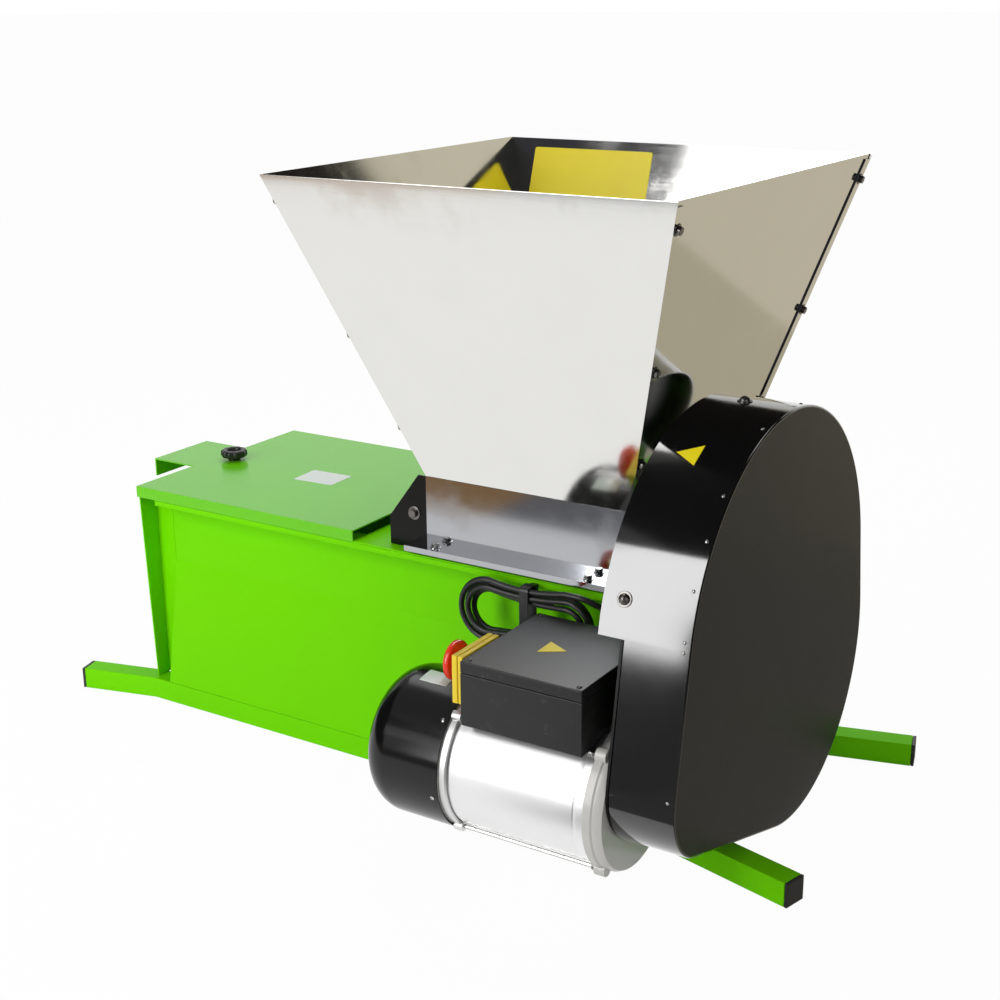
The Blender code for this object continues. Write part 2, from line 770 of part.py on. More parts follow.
def build_lid(shop):
    """The lift-off cover with its stem hood, the stud it hangs on and its knob."""
    hood_end = LID_LEFT - HOOD_REACH
    edge, hood = BODY_HALF_WIDTH, HOOD_HALF_WIDTH
    outline = [
        (LID_RIGHT, -edge), (LID_RIGHT, edge), (LID_LEFT, edge), (LID_LEFT, hood),
        (hood_end, hood), (hood_end, -hood), (LID_LEFT, -hood), (LID_LEFT, -edge),
    ]
    lid = prism(shop, "lid", "green", [outline], LID_TOP - SHEET, LID_TOP)
    inset = SHEET / 2
    left, end = LID_LEFT + inset, hood_end + inset
    skirts = [
        ([(LID_RIGHT, inset - edge), (left, inset - edge), (left, -hood)], LID_LIP),
        ([(LID_RIGHT, edge - inset), (left, edge - inset), (left, hood - inset)], LID_LIP),
        ([(left, hood - inset), (end, hood - inset), (end, -hood)], HOOD_LIP),
    ]
    pieces = []
    for path, depth in skirts:
        strip = strip_outline([Vector(point) for point in path], inset)
        pieces.append(prism(shop, "skirt", None, [strip], LID_TOP - depth, LID_TOP - inset))
    join(lid, *pieces)
    knob_x = LID_LEFT + KNOB_FROM_END
    hole = rod(
        shop, "stud_hole", None, STUD_RADIUS + STUD_HOLE_PLAY, -OVERRUN, LID_TOP,
        (knob_x, 0, OVERRUN), ALONG_Z,
    )
    cut(lid, hole)
    build_stud(shop, knob_x)
    build_knob(shop, knob_x)


def build_stud(shop, knob_x):
    """A shelf welded to the outlet end, with the threaded stud standing on it."""
    top = BODY_TOP - STUD_SHELF_DROP
    left = BODY_LEFT + SHEET + GAP
    shelf = box(
        shop, "lid_stud", "steel", (left, left + STUD_SHELF),
        (-STUD_SHELF_HALF_WIDTH, STUD_SHELF_HALF_WIDTH), (top - SHEET, top),
    )
    tab = box(
        shop, "tab", None, (left, left + SHEET), (-STUD_SHELF_HALF_WIDTH, STUD_SHELF_HALF_WIDTH),
        (top - OUTLET_HEAD_DROP + STUD_SHELF_DROP, top),
    )
    stud = rod(
        shop, "stud", None, STUD_RADIUS, top - SHEET / 2, LID_TOP + STUD_REACH,
        (knob_x, 0, 0), ALONG_Z,
    )
    join(shelf, tab, stud)


def build_knob(shop, knob_x):
    """A lobed hand knob with a boss under it, a dished top and a blind threaded hole."""
    points = []
    per_lobe = 4
    for index in range(KNOB_LOBES * per_lobe):
        angle = math.tau * index / (KNOB_LOBES * per_lobe)
        radius = KNOB_RADIUS - KNOB_LOBE_DEPTH * (1 - math.cos(KNOB_LOBES * angle)) / 2
        points.append((radius * math.cos(angle), radius * math.sin(angle)))
    base = LID_TOP + GAP
    waist = base + KNOB_BOSS_HEIGHT
    top = base + KNOB_HEIGHT
    knob = prism(
        shop, "lid_knob", "black_plastic", [points], waist - base, top - base, ALONG_Z,
        (knob_x, 0, base),
    )
    boss = rod(
        shop, "boss", None, KNOB_BOSS_RADIUS, base, waist + KNOB_BOSS_HEIGHT / 2,
        (knob_x, 0, 0), ALONG_Z,
    )
    join(knob, boss)
    dish = rod(
        shop, "dish", None, KNOB_RECESS_RADIUS, top - KNOB_RECESS_DEPTH, top + OVERRUN,
        (knob_x, 0, 0), ALONG_Z,
    )
    thread = rod(
        shop, "thread", None, STUD_RADIUS + STUD_PLAY, base - OVERRUN,
        LID_TOP + STUD_REACH + STUD_PLAY, (knob_x, 0, 0), ALONG_Z,
    )
    cut(knob, dish, thread)


def build_neck(shop):
    """The square neck that holds the rollers, with a flange and a turned lip on both sides."""
    half = NECK_HALF_WIDTH
    wall = STAINLESS_SHEET
    outline = [(NECK_LEFT, -half), (NECK_RIGHT, -half), (NECK_RIGHT, half), (NECK_LEFT, half)]
    inside = [
        (NECK_LEFT + wall, -half + wall), (NECK_RIGHT - wall, -half + wall),
        (NECK_RIGHT - wall, half - wall), (NECK_LEFT + wall, half - wall),
    ]
    neck = prism(shop, "hopper_neck", "stainless", [outline, inside], NECK_FOOT, NECK_TOP)
    flange_top = NECK_FOOT + FLANGE_HEIGHT
    reach = half + FLANGE_WIDTH
    pieces = []
    for side in (-1, 1):
        strip = sorted((side * (half - wall / 2), side * reach))
        lip = sorted((side * (reach - wall), side * reach))
        stations = (NECK_LEFT - FLANGE_LEFT_REACH, NECK_RIGHT)
        pieces.append(box(shop, "flange", None, stations, strip, (flange_top - wall, flange_top)))
        pieces.append(box(shop, "lip", None, stations, lip, (flange_top - FLANGE_LIP, flange_top)))
    join(neck, *pieces)
    holes = []
    for side in (-1, 1):
        holes.append(rod(
            shop, "hole", None, ROLLER_SHAFT_RADIUS + GAP, NECK_LEFT - OVERRUN,
            NECK_RIGHT + OVERRUN, (0, side * ROLLER_Y, ROLLER_HEIGHT),
        ))
    cut(neck, *holes)


def hopper_corners(inset=0):
    """Lower and upper corner pairs of the hopper's outer faces, near left first."""
    half = NECK_HALF_WIDTH - inset
    wide = HOPPER_HALF_WIDTH - inset
    return {
        "near_left": (Vector((NECK_LEFT + inset, -half, HOPPER_FOOT)),
                      Vector((HOPPER_LEFT + inset, -wide, HOPPER_TOP))),
        "near_right": (Vector((NECK_RIGHT - inset, -half, HOPPER_FOOT)),
                       Vector((HOPPER_RIGHT - inset, -wide, HOPPER_TOP))),
        "far_right": (Vector((NECK_RIGHT - inset, half, HOPPER_FOOT)),
                      Vector((HOPPER_RIGHT - inset, wide, HOPPER_TOP))),
        "far_left": (Vector((NECK_LEFT + inset, half, HOPPER_FOOT)),
                     Vector((HOPPER_LEFT + inset, wide, HOPPER_TOP))),
    }


def build_hopper(shop):
    """Four flared sheets; the near and far ones fold round the others along the seams."""
    outer = hopper_corners()
    inset = STAINLESS_SHEET + MITRE_PLAY
    for name, a, b, inward in (
        ("hopper_near", "near_left", "near_right", (0, 1, 0)),
        ("hopper_far", "far_left", "far_right", (0, -1, 0)),
    ):
        corners = [outer[a][0], outer[b][0], outer[b][1], outer[a][1]]
        panel = flat_panel(shop, name, "stainless", corners, STAINLESS_SHEET, inward)
        folds = [seam_fold(shop, outer, a), seam_fold(shop, outer, b)]
        join(panel, *folds)
    for name, a, b, inward in (
        ("hopper_left", "near_left", "far_left", (1, 0, 0)),
        ("hopper_right", "near_right", "far_right", (-1, 0, 0)),
    ):
        low_a, high_a = pulled_in(outer[a], inset, inward)
        low_b, high_b = pulled_in(outer[b], inset, inward)
        corners = [low_a, low_b, high_b, high_a]
        flat_panel(shop, name, "stainless", corners, STAINLESS_SHEET, inward)


def end_normal(corner_pair, inward_x):
    """Unit normal of the hopper's left or right face, pointing into the hopper."""
    rise = corner_pair[1] - corner_pair[0]
    normal = Vector((rise.z, 0, -rise.x)) * (1 if inward_x > 0 else -1)
    return normal.normalized()


def pulled_in(corner_pair, inset, inward):
    """Moves a seam's corners inwards, square to the end face and along Y."""
    normal = end_normal(corner_pair, inward[0])
    across = Vector((0, -math.copysign(1, corner_pair[0].y), 0))
    shift = normal * (STAINLESS_SHEET + GAP) + across * inset
    return corner_pair[0] + shift, corner_pair[1] + shift


def seam_fold(shop, outer, corner):
    """The strip of a near or far panel that lies on an end panel along one seam."""
    low, high = outer[corner]
    inward_x = 1 if "left" in corner else -1
    across = Vector((0, -math.copysign(1, low.y), 0))
    start = low.lerp(high, SEAM_FOOT_SHARE)
    end = low.lerp(high, SEAM_TOP_SHARE)
    toe = across * SEAM_FLANGE
    corners = [start, start + toe, end + toe, end]
    return flat_panel(shop, "fold", None, corners, STAINLESS_SHEET, end_normal((low, high), inward_x))


def roller_outline(phase):
    """Five round lobes about the roller's axis; phase turns the first lobe from the +U axis."""
    count = ROLLER_LOBES * 10
    points = []
    for index in range(count):
        angle = math.tau * index / count
        radius = ROLLER_MEAN_RADIUS + ROLLER_LOBE * math.cos(ROLLER_LOBES * (angle - phase))
        points.append((radius * math.cos(angle), radius * math.sin(angle)))
    return points


def build_rollers(shop):
    """Two lobed rollers, their bushes, the sloping guides over them and the bearing brackets."""
    left = NECK_LEFT + STAINLESS_SHEET + ROLLER_END_PLAY
    right = NECK_RIGHT - STAINLESS_SHEET - ROLLER_END_PLAY
    shaft_left = NECK_LEFT - ROLLER_SHAFT_REACH
    half_lobe = math.pi / ROLLER_LOBES
    for name, side, phase, shaft_right in (
        ("roller_near", -1, 0.0, DRIVEN_GEAR_RIGHT + PLANE_PLAY / 2),
        ("roller_far", 1, math.pi + half_lobe, ROLLER_GEAR_RIGHT + PLANE_PLAY / 4),
    ):
        centre = (0, side * ROLLER_Y, ROLLER_HEIGHT)
        roller = prism(shop, name, "roller_plastic", [roller_outline(phase)], left, right, ALONG_X, centre)
        shaft = rod(shop, "shaft", None, ROLLER_SHAFT_RADIUS, shaft_left, shaft_right, centre)
        join(roller, shaft)
        centre_on(roller, centre)
    for label, side in (("near", -1), ("far", 1)):
        centre = (0, side * ROLLER_Y, ROLLER_HEIGHT)
        left_face = NECK_LEFT - GAP - PLATE - GAP
        right_face = NECK_RIGHT + GAP + PLATE + GAP
        build_bush(shop, f"roller_bush_{label}_left", centre, left_face, -1, ROLLER_SHAFT_RADIUS)
        build_bush(shop, f"roller_bush_{label}_right", centre, right_face, 1, ROLLER_SHAFT_RADIUS)
        build_guide(shop, f"roller_guide_{label}", side)
    build_bracket(shop, "roller_bracket_left", NECK_LEFT - GAP, -1)
    build_bracket(shop, "roller_bracket_right", NECK_RIGHT + GAP, 1)


def centre_on(item, centre):
    """Moves an object's origin onto its axis without moving its shape."""
    shift = item.matrix_basis.inverted() @ Matrix.Translation(centre)
    item.data.transform(shift.inverted())
    item.matrix_basis = item.matrix_basis @ shift


def build_bush(shop, name, centre, face, side, shaft_radius):
    """A flanged bearing bush standing out from a plate, side being the way that it points."""
    bore = shaft_radius + GAP
    outer = bore + BUSH_WALL
    flange = outer + BUSH_FLANGE
    far = BUSH_LENGTH
    near = BUSH_FLANGE_THICK
    profile = [(bore, far), (outer, far), (outer, near), (flange, near), (flange, 0), (bore, 0)]
    place = Vector(centre) + Vector((face, 0, 0))
    item = turned(shop, name, "steel", profile, place, ALONG_X, SMALL_SIDES, ring=True)
    if side < 0:
        item.matrix_basis = item.matrix_basis @ Matrix.Rotation(math.pi, 4, "Y")


def build_guide(shop, name, side):
    """A sloping sheet that leads grapes from the neck's wall to the rollers."""
    wall = side * (NECK_HALF_WIDTH - STAINLESS_SHEET - GAP)
    top = NECK_TOP - GUIDE_TOP_DROP
    foot = top - GUIDE_SLOPE_DROP
    inner = side * (ROLLER_Y + ROLLER_MEAN_RADIUS + ROLLER_LOBE + GUIDE_FOOT_PLAY)
    shelf = foot - GUIDE_TOP_DROP
    section = [(wall, top), (inner, foot), (inner, shelf)]
    if side < 0:
        section.reverse()
    left = NECK_LEFT + STAINLESS_SHEET + GAP
    right = NECK_RIGHT - STAINLESS_SHEET - GAP
    folded(shop, name, "stainless", section, STAINLESS_SHEET, left, right, ALONG_X)


def build_bracket(shop, name, face, side):
    """A black plate that carries the roller bushes, folded to a triangular cheek at each end."""
    half = NECK_HALF_WIDTH - STAINLESS_SHEET / 2 - GAP - PLATE / 2
    foot = DECK_TOP + GAP
    top = foot + BRACKET_TOP_RISE
    middle = face + side * PLATE / 2
    toe = face + side * BRACKET_REACH
    path = [Vector(point) for point in ((toe, -half), (middle, -half), (middle, half), (toe, half))]
    bracket = prism(shop, name, "black_sheet", [strip_outline(path, PLATE / 2)], foot, top)
    tip = face + side * BRACKET_TIP
    beyond = toe + side * OVERRUN
    waste = [
        (beyond, foot + BRACKET_TOE_RISE), (beyond, top + OVERRUN), (tip, top + OVERRUN),
        (tip, top), (toe, foot + BRACKET_TOE_RISE),
    ]
    reach = NECK_HALF_WIDTH + OVERRUN
    slope = prism(shop, "slope", None, [waste], -reach, reach, ALONG_Y)
    crown_span = NECK_HALF_WIDTH - PLATE - GAP
    crown = box(
        shop, "crown", None, sorted((face - side * OVERRUN, face + side * 2 * PLATE)),
        (-crown_span, crown_span), (top - BRACKET_TIP, top + OVERRUN),
    )
    low, high = sorted((face - side * OVERRUN, face + side * (PLATE + OVERRUN)))
    holes = []
    for edge in (-1, 1):
        holes.append(rod(
            shop, "hole", None, ROLLER_SHAFT_RADIUS + GAP, low, high,
            (0, edge * ROLLER_Y, ROLLER_HEIGHT),
        ))
    cut(bracket, slope, crown, *holes)
    feet = []
    for edge in (-1, 1):
        stations = sorted((face + side * 2 * PLATE, toe - side * PLATE))
        width = sorted((edge * half, edge * (half - BRACKET_FOOT)))
        feet.append(box(shop, "toe", None, stations, width, (foot, foot + PLATE)))
    join(bracket, *feet)


def build_beater(shop):
    """The pegged shaft, its two bushes and the perforated trough round its lower half."""
    centre = (0, 0, BEATER_HEIGHT)
    shaft = rod(
        shop, "beater", "steel", BEATER_SHAFT_RADIUS, BODY_LEFT - BEATER_SHAFT_REACH, SHAFT_END,
        centre,
    )
    first = BODY_LEFT + SHEET + BUSH_LENGTH + PEG_END_MARGIN
    last = BODY_RIGHT - SHEET - BUSH_LENGTH - PEG_END_MARGIN
    places = []
    for index in range(PEG_COUNT):
        share = index / (PEG_COUNT - 1)
        station = first + (last - first) * share
        turn = Matrix.Rotation(math.tau * PEG_TURNS * share, 4, "X")
        places.append(Matrix.Translation((station, 0, BEATER_HEIGHT)) @ turn)
    pegs = many_rods(shop, "pegs", places, PEG_RADIUS, 0, PEG_REACH, HOLE_SIDES)
    join(shaft, pegs)
    left_face = BODY_LEFT + SHEET + GAP
    right_face = BODY_RIGHT - SHEET - GAP
    build_bush(shop, "beater_bush_left", centre, left_face, 1, BEATER_SHAFT_RADIUS)
    build_bush(shop, "beater_bush_right", centre, right_face, -1, BEATER_SHAFT_RADIUS)
    build_grate(shop)


def build_grate(shop):
    """A half-round trough with rows of round holes and a flange along each wall."""
    left = BODY_LEFT + SHEET + BUSH_FLANGE_THICK + GRATE_END_PLAY
    right = BODY_RIGHT - SHEET - BUSH_FLANGE_THICK - GRATE_END_PLAY
    edge = WALL_Y - GAP
    arc = arc_points((0, BEATER_HEIGHT), GRATE_RADIUS, math.pi, math.tau, 180.0 / GRATE_STEPS)
    section = [(-edge, BEATER_HEIGHT)] + arc + [(edge, BEATER_HEIGHT)]
    grate = folded(
        shop, "perforated_grate", "stainless", section, STAINLESS_SHEET, left, right, ALONG_X,
    )
    bake(grate)
    rows = int((right - left) / GRATE_HOLE_PITCH)
    margin = (right - left - (rows - 1) * GRATE_HOLE_PITCH) / 2
    places = []
    for row in range(rows):
        for index in range(GRATE_HOLES_ROUND):
            share = index / (GRATE_HOLES_ROUND - 1) - 0.5
            turn = math.pi + math.radians(GRATE_SPAN_DEGREES) * share
            station = left + margin + row * GRATE_HOLE_PITCH
            place = Matrix.Translation((station, 0, BEATER_HEIGHT)) @ Matrix.Rotation(turn, 4, "X")
            places.append(place)
    reach = GRATE_RADIUS + STAINLESS_SHEET + OVERRUN
    start = GRATE_RADIUS - STAINLESS_SHEET - OVERRUN
    cut(grate, many_rods(shop, "holes", places, GRATE_HOLE_RADIUS, start, reach, HOLE_SIDES))


def build_gears(shop):
    """Pinion and driven gear between beater and near roller, and the equal pair on the rollers."""
    mesh_angle = math.atan2(ROLLER_RISE, -ROLLER_Y)
    gear(shop, "beater_pinion", PINION_TEETH, (0, 0, BEATER_HEIGHT), DRIVEN_GEAR_LEFT,
         BEATER_SHAFT_RADIUS, mesh_angle, False)
    near = (0, -ROLLER_Y, ROLLER_HEIGHT)
    far = (0, ROLLER_Y, ROLLER_HEIGHT)
    driven = gear(shop, "roller_drive_gear", DRIVEN_TEETH, near, DRIVEN_GEAR_LEFT,
                  ROLLER_SHAFT_RADIUS, mesh_angle + math.pi, True)
    places = ring_places(near, LIGHTENING_CIRCLE, LIGHTENING_HOLES)
    low, high = DRIVEN_GEAR_LEFT - OVERRUN, DRIVEN_GEAR_RIGHT + OVERRUN
    cut(driven, many_rods(shop, "lightening", places, LIGHTENING_RADIUS, low, high, ROD_SIDES))
    gear(shop, "roller_gear_near", ROLLER_TEETH, near, ROLLER_GEAR_LEFT,
         ROLLER_SHAFT_RADIUS, 0.0, False)
    gear(shop, "roller_gear_far", ROLLER_TEETH, far, ROLLER_GEAR_LEFT,
         ROLLER_SHAFT_RADIUS, math.pi, True)


def gear(shop, name, teeth, centre, left, shaft_radius, toward, gap_first):
    """A spur gear with a tooth, or else a gap, pointing toward the gear that it meshes with."""
    half_tooth = math.pi / teeth if gap_first else 0.0
    turn = Matrix.Rotation(toward + half_tooth, 4, "Z")
    outlines = [gear_outline(teeth)]
    item = prism(shop, name, "steel", outlines, left, left + GEAR_FACE, ALONG_X @ turn, centre)
    bore = rod(
        shop, "bore", None, shaft_radius + GAP, left - OVERRUN, left + GEAR_FACE + OVERRUN, centre,
    )
    return cut(item, bore)


def pulley_profile(radius, shaft_radius):
    """Half section of a grooved pulley with a thin web, outer side first, top to bottom."""
    half = PULLEY_WIDTH / 2
    seat = radius - BELT_THICK - BELT_SEAT
    floor = BELT_WIDTH / 2 + GROOVE_SIDE_PLAY
    mouth = floor + GROOVE_FLARE
    bore = shaft_radius + GAP
    rim = seat - PULLEY_RIM / 2
    hub = PULLEY_HUB_RADIUS
    web = PULLEY_WEB / 2
    if rim - hub < PULLEY_WEB:
        return [(bore, half), (radius, half), (radius, mouth), (seat, floor), (seat, -floor),
                (radius, -mouth), (radius, -half), (bore, -half)]
    return [
        (bore, half), (hub, half), (hub, web), (rim, web), (rim, half), (radius, half),
        (radius, mouth), (seat, floor), (seat, -floor), (radius, -mouth), (radius, -half),
        (rim, -half), (rim, -web), (hub, -web), (hub, -half), (bore, -half),
    ]


def build_belt_drive(shop):
    middle = (PULLEY_LEFT + PULLEY_RIGHT) / 2
    beater = (middle, 0, BEATER_HEIGHT)
    motor = (middle, MOTOR_Y, MOTOR_HEIGHT)
    big = turned(
        shop, "beater_pulley", "steel", pulley_profile(BIG_PULLEY_RADIUS, BEATER_SHAFT_RADIUS),
        beater, ALONG_X, LARGE_SIDES, ring=True,
    )
    bake(big)
    places = ring_places(beater, SPOKE_CIRCLE, SPOKE_WINDOWS)
    windows = many_rods(
        shop, "windows", places, SPOKE_WINDOW_RADIUS, -PULLEY_WIDTH, PULLEY_WIDTH, ROD_SIDES,
    )
    cut(big, windows)
    turned(
        shop, "motor_pulley", "steel", pulley_profile(SMALL_PULLEY_RADIUS, MOTOR_SHAFT_RADIUS),
        motor, ALONG_X, SMALL_SIDES, ring=True,
    )
    loops = []
    for depth in (BELT_SEAT / 2, BELT_SEAT / 2 + BELT_THICK):
        circles = [
            (0, BEATER_HEIGHT, BIG_PULLEY_RADIUS - depth),
            (MOTOR_Y, MOTOR_HEIGHT, SMALL_PULLEY_RADIUS - depth),
        ]
        loops.append(wrap_outline(circles))
    prism(
        shop, "drive_belt", "rubber", loops, middle - BELT_WIDTH / 2, middle + BELT_WIDTH / 2,
        ALONG_X,
    )


def build_motor(shop):
    """Finned frame, both shields, shaft, fan and cowl on one axis along X."""
    centre = (0, MOTOR_Y, MOTOR_HEIGHT)
    frame_left = COWL_RIGHT + GAP
    frame_right = SHIELD_LEFT - GAP
    points = []
    for fin in range(FRAME_FINS):
        for share, radius in ((0.0, FRAME_RADIUS), (0.5, FRAME_RADIUS), (0.6, FRAME_RADIUS - FIN_DEPTH),
                              (0.9, FRAME_RADIUS - FIN_DEPTH)):
            angle = math.tau * (fin + share) / FRAME_FINS
            points.append((radius * math.cos(angle), radius * math.sin(angle)))
    bore = circle_outline(MOTOR_SHAFT_RADIUS + GAP)
    prism(
        shop, "motor_frame", "aluminium", [points, bore], frame_left, frame_right, ALONG_X, centre,
    )
    build_shields(shop, centre, frame_left)
    build_rotor(shop, centre)
    build_cowl(shop, centre)


def build_shields(shop, centre, frame_left):
    """The drive-end shield with its four bolt lugs; the cowl hides the other one."""
    right = SHIELD_LEFT + SHIELD_THICK
    profile = [
        (MOTOR_SHAFT_RADIUS + GAP, right), (SHIELD_RADIUS - BOX_BEVEL, right),
        (SHIELD_RADIUS, right - BOX_BEVEL), (SHIELD_RADIUS, SHIELD_LEFT),
        (MOTOR_SHAFT_RADIUS + GAP, SHIELD_LEFT),
    ]
    shield = turned(shop, "motor_front_shield", "aluminium", profile, centre, ALONG_X, LARGE_SIDES, ring=True)
    bake(shield)
    places = []
    for lean in (LUG_SPREAD_DEGREES, -LUG_SPREAD_DEGREES):
        places += ring_places(centre, LUG_CIRCLE, LUG_COUNT // 2, ALONG_X, lean)
    lugs = many_rods(
        shop, "lugs", places, LUG_RADIUS, SHIELD_LEFT, SHIELD_LEFT + LUG_LENGTH, ROD_SIDES,
    )
    join(shield, lugs)
    rear_left = frame_left - GAP - REAR_SHIELD_THICK
    inner = COWL_RADIUS - COWL_WALL - GAP
    rear = [
        (MOTOR_SHAFT_RADIUS + GAP, frame_left - GAP), (inner, frame_left - GAP),
        (inner, rear_left), (MOTOR_SHAFT_RADIUS + GAP, rear_left),
    ]
    turned(shop, "motor_rear_shield", "aluminium", rear, centre, ALONG_X, SMALL_SIDES, ring=True)


def build_rotor(shop, centre):
    """The motor's shaft from fan to pulley, and the fan that turns with it."""
    fan_left = COWL_LEFT + COWL_WALL + FAN_PLAY
    rod(shop, "motor_shaft", "steel", MOTOR_SHAFT_RADIUS, fan_left, SHAFT_END, centre)
    hub = rod(shop, "motor_fan", "black_plastic", FAN_HUB_RADIUS, fan_left, fan_left + FAN_LENGTH, centre)
    blades = []
    for index in range(FAN_BLADES // 2):
        turn = Matrix.Rotation(math.pi * index / (FAN_BLADES // 2), 4, "X")
        half = FAN_BLADE_THICK / 2
        blade = box(
            shop, "blade", None, (fan_left, fan_left + FAN_LENGTH), (-FAN_RADIUS, FAN_RADIUS),
            (-half, half),
        )
        blade.matrix_basis = Matrix.Translation(centre) @ turn
        blades.append(blade)
    join(hub, *blades)
    bore = rod(
        shop, "bore", None, MOTOR_SHAFT_RADIUS + GAP, fan_left - OVERRUN,
        fan_left + FAN_LENGTH + OVERRUN, centre,
    )
    cut(hub, bore)
    centre_on(hub, centre)


def build_cowl(shop, centre):
    """A drawn cup with a large rounded edge and a ring of air holes in its end."""
    outer = [(0, COWL_LEFT)]
    inner = [(0, COWL_LEFT + COWL_WALL)]
    for index in range(COWL_FILLET_STEPS + 1):
        angle = math.pi / 2 * index / COWL_FILLET_STEPS
        radius = COWL_RADIUS - COWL_FILLET + COWL_FILLET * math.sin(angle)
        station = COWL_LEFT + COWL_FILLET - COWL_FILLET * math.cos(angle)
        outer.append((radius, station))
        fillet = COWL_FILLET - COWL_WALL
        radius = COWL_RADIUS - COWL_FILLET + fillet * math.sin(angle)
        station = COWL_LEFT + COWL_FILLET - fillet * math.cos(angle)
        inner.append((radius, station))
    outer.append((COWL_RADIUS, COWL_RIGHT))
    inner.append((COWL_RADIUS - COWL_WALL, COWL_RIGHT))
    profile = inner + outer[::-1]
    cowl = turned(shop, "motor_fan_cowl", "black_sheet", profile, centre, ALONG_X, LARGE_SIDES)
    bake(cowl)
    vents = ring_places(centre, COWL_VENT_CIRCLE, COWL_VENT_COUNT)
    low, high = COWL_LEFT - OVERRUN, COWL_LEFT + COWL_WALL + OVERRUN
    cut(cowl, many_rods(shop, "vents", vents, COWL_VENT_RADIUS, low, high, HOLE_SIDES))


def build_guard(shop):
    """The plate that carries the motor and shafts, and the deep cover over belt and gears."""
    circles = [
        (GUARD_TOP_Y, GUARD_TOP_HEIGHT, GUARD_TOP_RADIUS),
        (GUARD_MOTOR_Y, GUARD_MOTOR_HEIGHT, GUARD_MOTOR_RADIUS),
        (GUARD_LOW_Y, GUARD_LOW_HEIGHT, GUARD_LOW_RADIUS),
    ]
    outline = wrap_outline(circles)
    sheet = GUARD_SHEET
    inner = wrap_outline([(u, v, radius - sheet) for u, v, radius in circles])
    plate_edge = wrap_outline([(u, v, radius - sheet - GAP) for u, v, radius in circles])
    back = GUARD_FRONT - GUARD_RIM_DEPTH
    cover = prism(shop, "guard_cover", "black_sheet", [outline], GUARD_FRONT - sheet, GUARD_FRONT, ALONG_X)
    rim = prism(shop, "rim", None, [outline, inner], back, GUARD_FRONT - sheet / 2, ALONG_X)
    tab = prism(
        shop, "tab", None, [outline, inner], GUARD_FRONT - GUARD_TAB_DEPTH, back + sheet, ALONG_X,
    )
    reach = 2 * GUARD_TOP_RADIUS
    below = box(
        shop, "below", None, (GUARD_FRONT - GUARD_TAB_DEPTH - OVERRUN, back + OVERRUN),
        (GUARD_TOP_Y - reach, GUARD_TOP_Y + reach), (-OVERRUN, GUARD_TAB_FLOOR),
    )
    cut(tab, below)
    join(cover, rim, tab)
    shafts = [
        circle_outline(BEATER_SHAFT_RADIUS + GAP, (0, BEATER_HEIGHT)),
        circle_outline(ROLLER_SHAFT_RADIUS + GAP, (-ROLLER_Y, ROLLER_HEIGHT)),
        circle_outline(ROLLER_SHAFT_RADIUS + GAP, (ROLLER_Y, ROLLER_HEIGHT)),
        circle_outline(MOTOR_SHAFT_RADIUS + GAP, (MOTOR_Y, MOTOR_HEIGHT)),
    ]
    prism(
        shop, "guard_back_plate", "black_sheet", [plate_edge, *shafts],
        BACK_PLATE_LEFT, BACK_PLATE_RIGHT, ALONG_X,
    )


def build_terminal_box(shop):
    """The junction box on the motor, with a separate lid."""
    base = box(
        shop, "terminal_box", "black_plastic", (BOX_LEFT, BOX_RIGHT), (BOX_NEAR, BOX_FAR),
        (BOX_FLOOR, BOX_TOP),
    )
    wall = BOX_BEVEL
    crown = MOTOR_HEIGHT + FRAME_RADIUS + wall
    hollow = box(
        shop, "hollow", None, (BOX_LEFT + wall, BOX_RIGHT - wall), (BOX_NEAR + wall, BOX_FAR - wall),
        (crown, BOX_TOP + OVERRUN),
    )
    seat = rod(
        shop, "seat", None, FRAME_RADIUS + GAP, BOX_LEFT - OVERRUN, BOX_RIGHT + OVERRUN,
        (0, MOTOR_Y, MOTOR_HEIGHT), ALONG_X, 2 * FRAME_FINS,
    )
    cut(base, hollow, seat)
    lid = box(
        shop, "terminal_box_lid", "black_plastic", (BOX_LEFT, BOX_RIGHT), (BOX_NEAR, BOX_FAR),
        (BOX_TOP + GAP, BOX_LID_TOP),
    )
    rounding = lid.modifiers.new("edges", "BEVEL")
    rounding.width = BOX_BEVEL / 2
    rounding.segments = 2


def build_switch(shop):
    """Start and stop buttons in a yellow housing, under a hinged flap with a red mushroom."""
    back = BOX_LEFT - GAP
    face = back - SWITCH_DEPTH
    half_w, half_h = SWITCH_WIDTH / 2, SWITCH_HEIGHT / 2
    ys = (SWITCH_CENTRE_Y - half_w, SWITCH_CENTRE_Y + half_w)
    zs = (SWITCH_CENTRE_HEIGHT - half_h, SWITCH_CENTRE_HEIGHT + half_h)
    housing = box(shop, "switch_housing", "yellow_plastic", (face, back), ys, zs)
    wells = []
    for index, name in ((-1, "start_button"), (1, "stop_button")):
        y = SWITCH_CENTRE_Y + index * BUTTON_SPACING / 2
        half = BUTTON_SIDE / 2
        box(
            shop, name, "green_plastic" if index < 0 else "red_plastic",
            (face - BUTTON_STANDOUT, face + BUTTON_DEPTH - BUTTON_STANDOUT),
            (y - half, y + half), (SWITCH_CENTRE_HEIGHT - half, SWITCH_CENTRE_HEIGHT + half),
        )
        wide = half + BUTTON_PLAY
        wells.append(box(
            shop, "well", None, (face - OVERRUN, face + BUTTON_DEPTH + BUTTON_STANDOUT - BUTTON_PLAY),
            (y - wide, y + wide), (SWITCH_CENTRE_HEIGHT - wide, SWITCH_CENTRE_HEIGHT + wide),
        ))
    cut(housing, *wells)
    build_flap(shop, face, ys, zs)


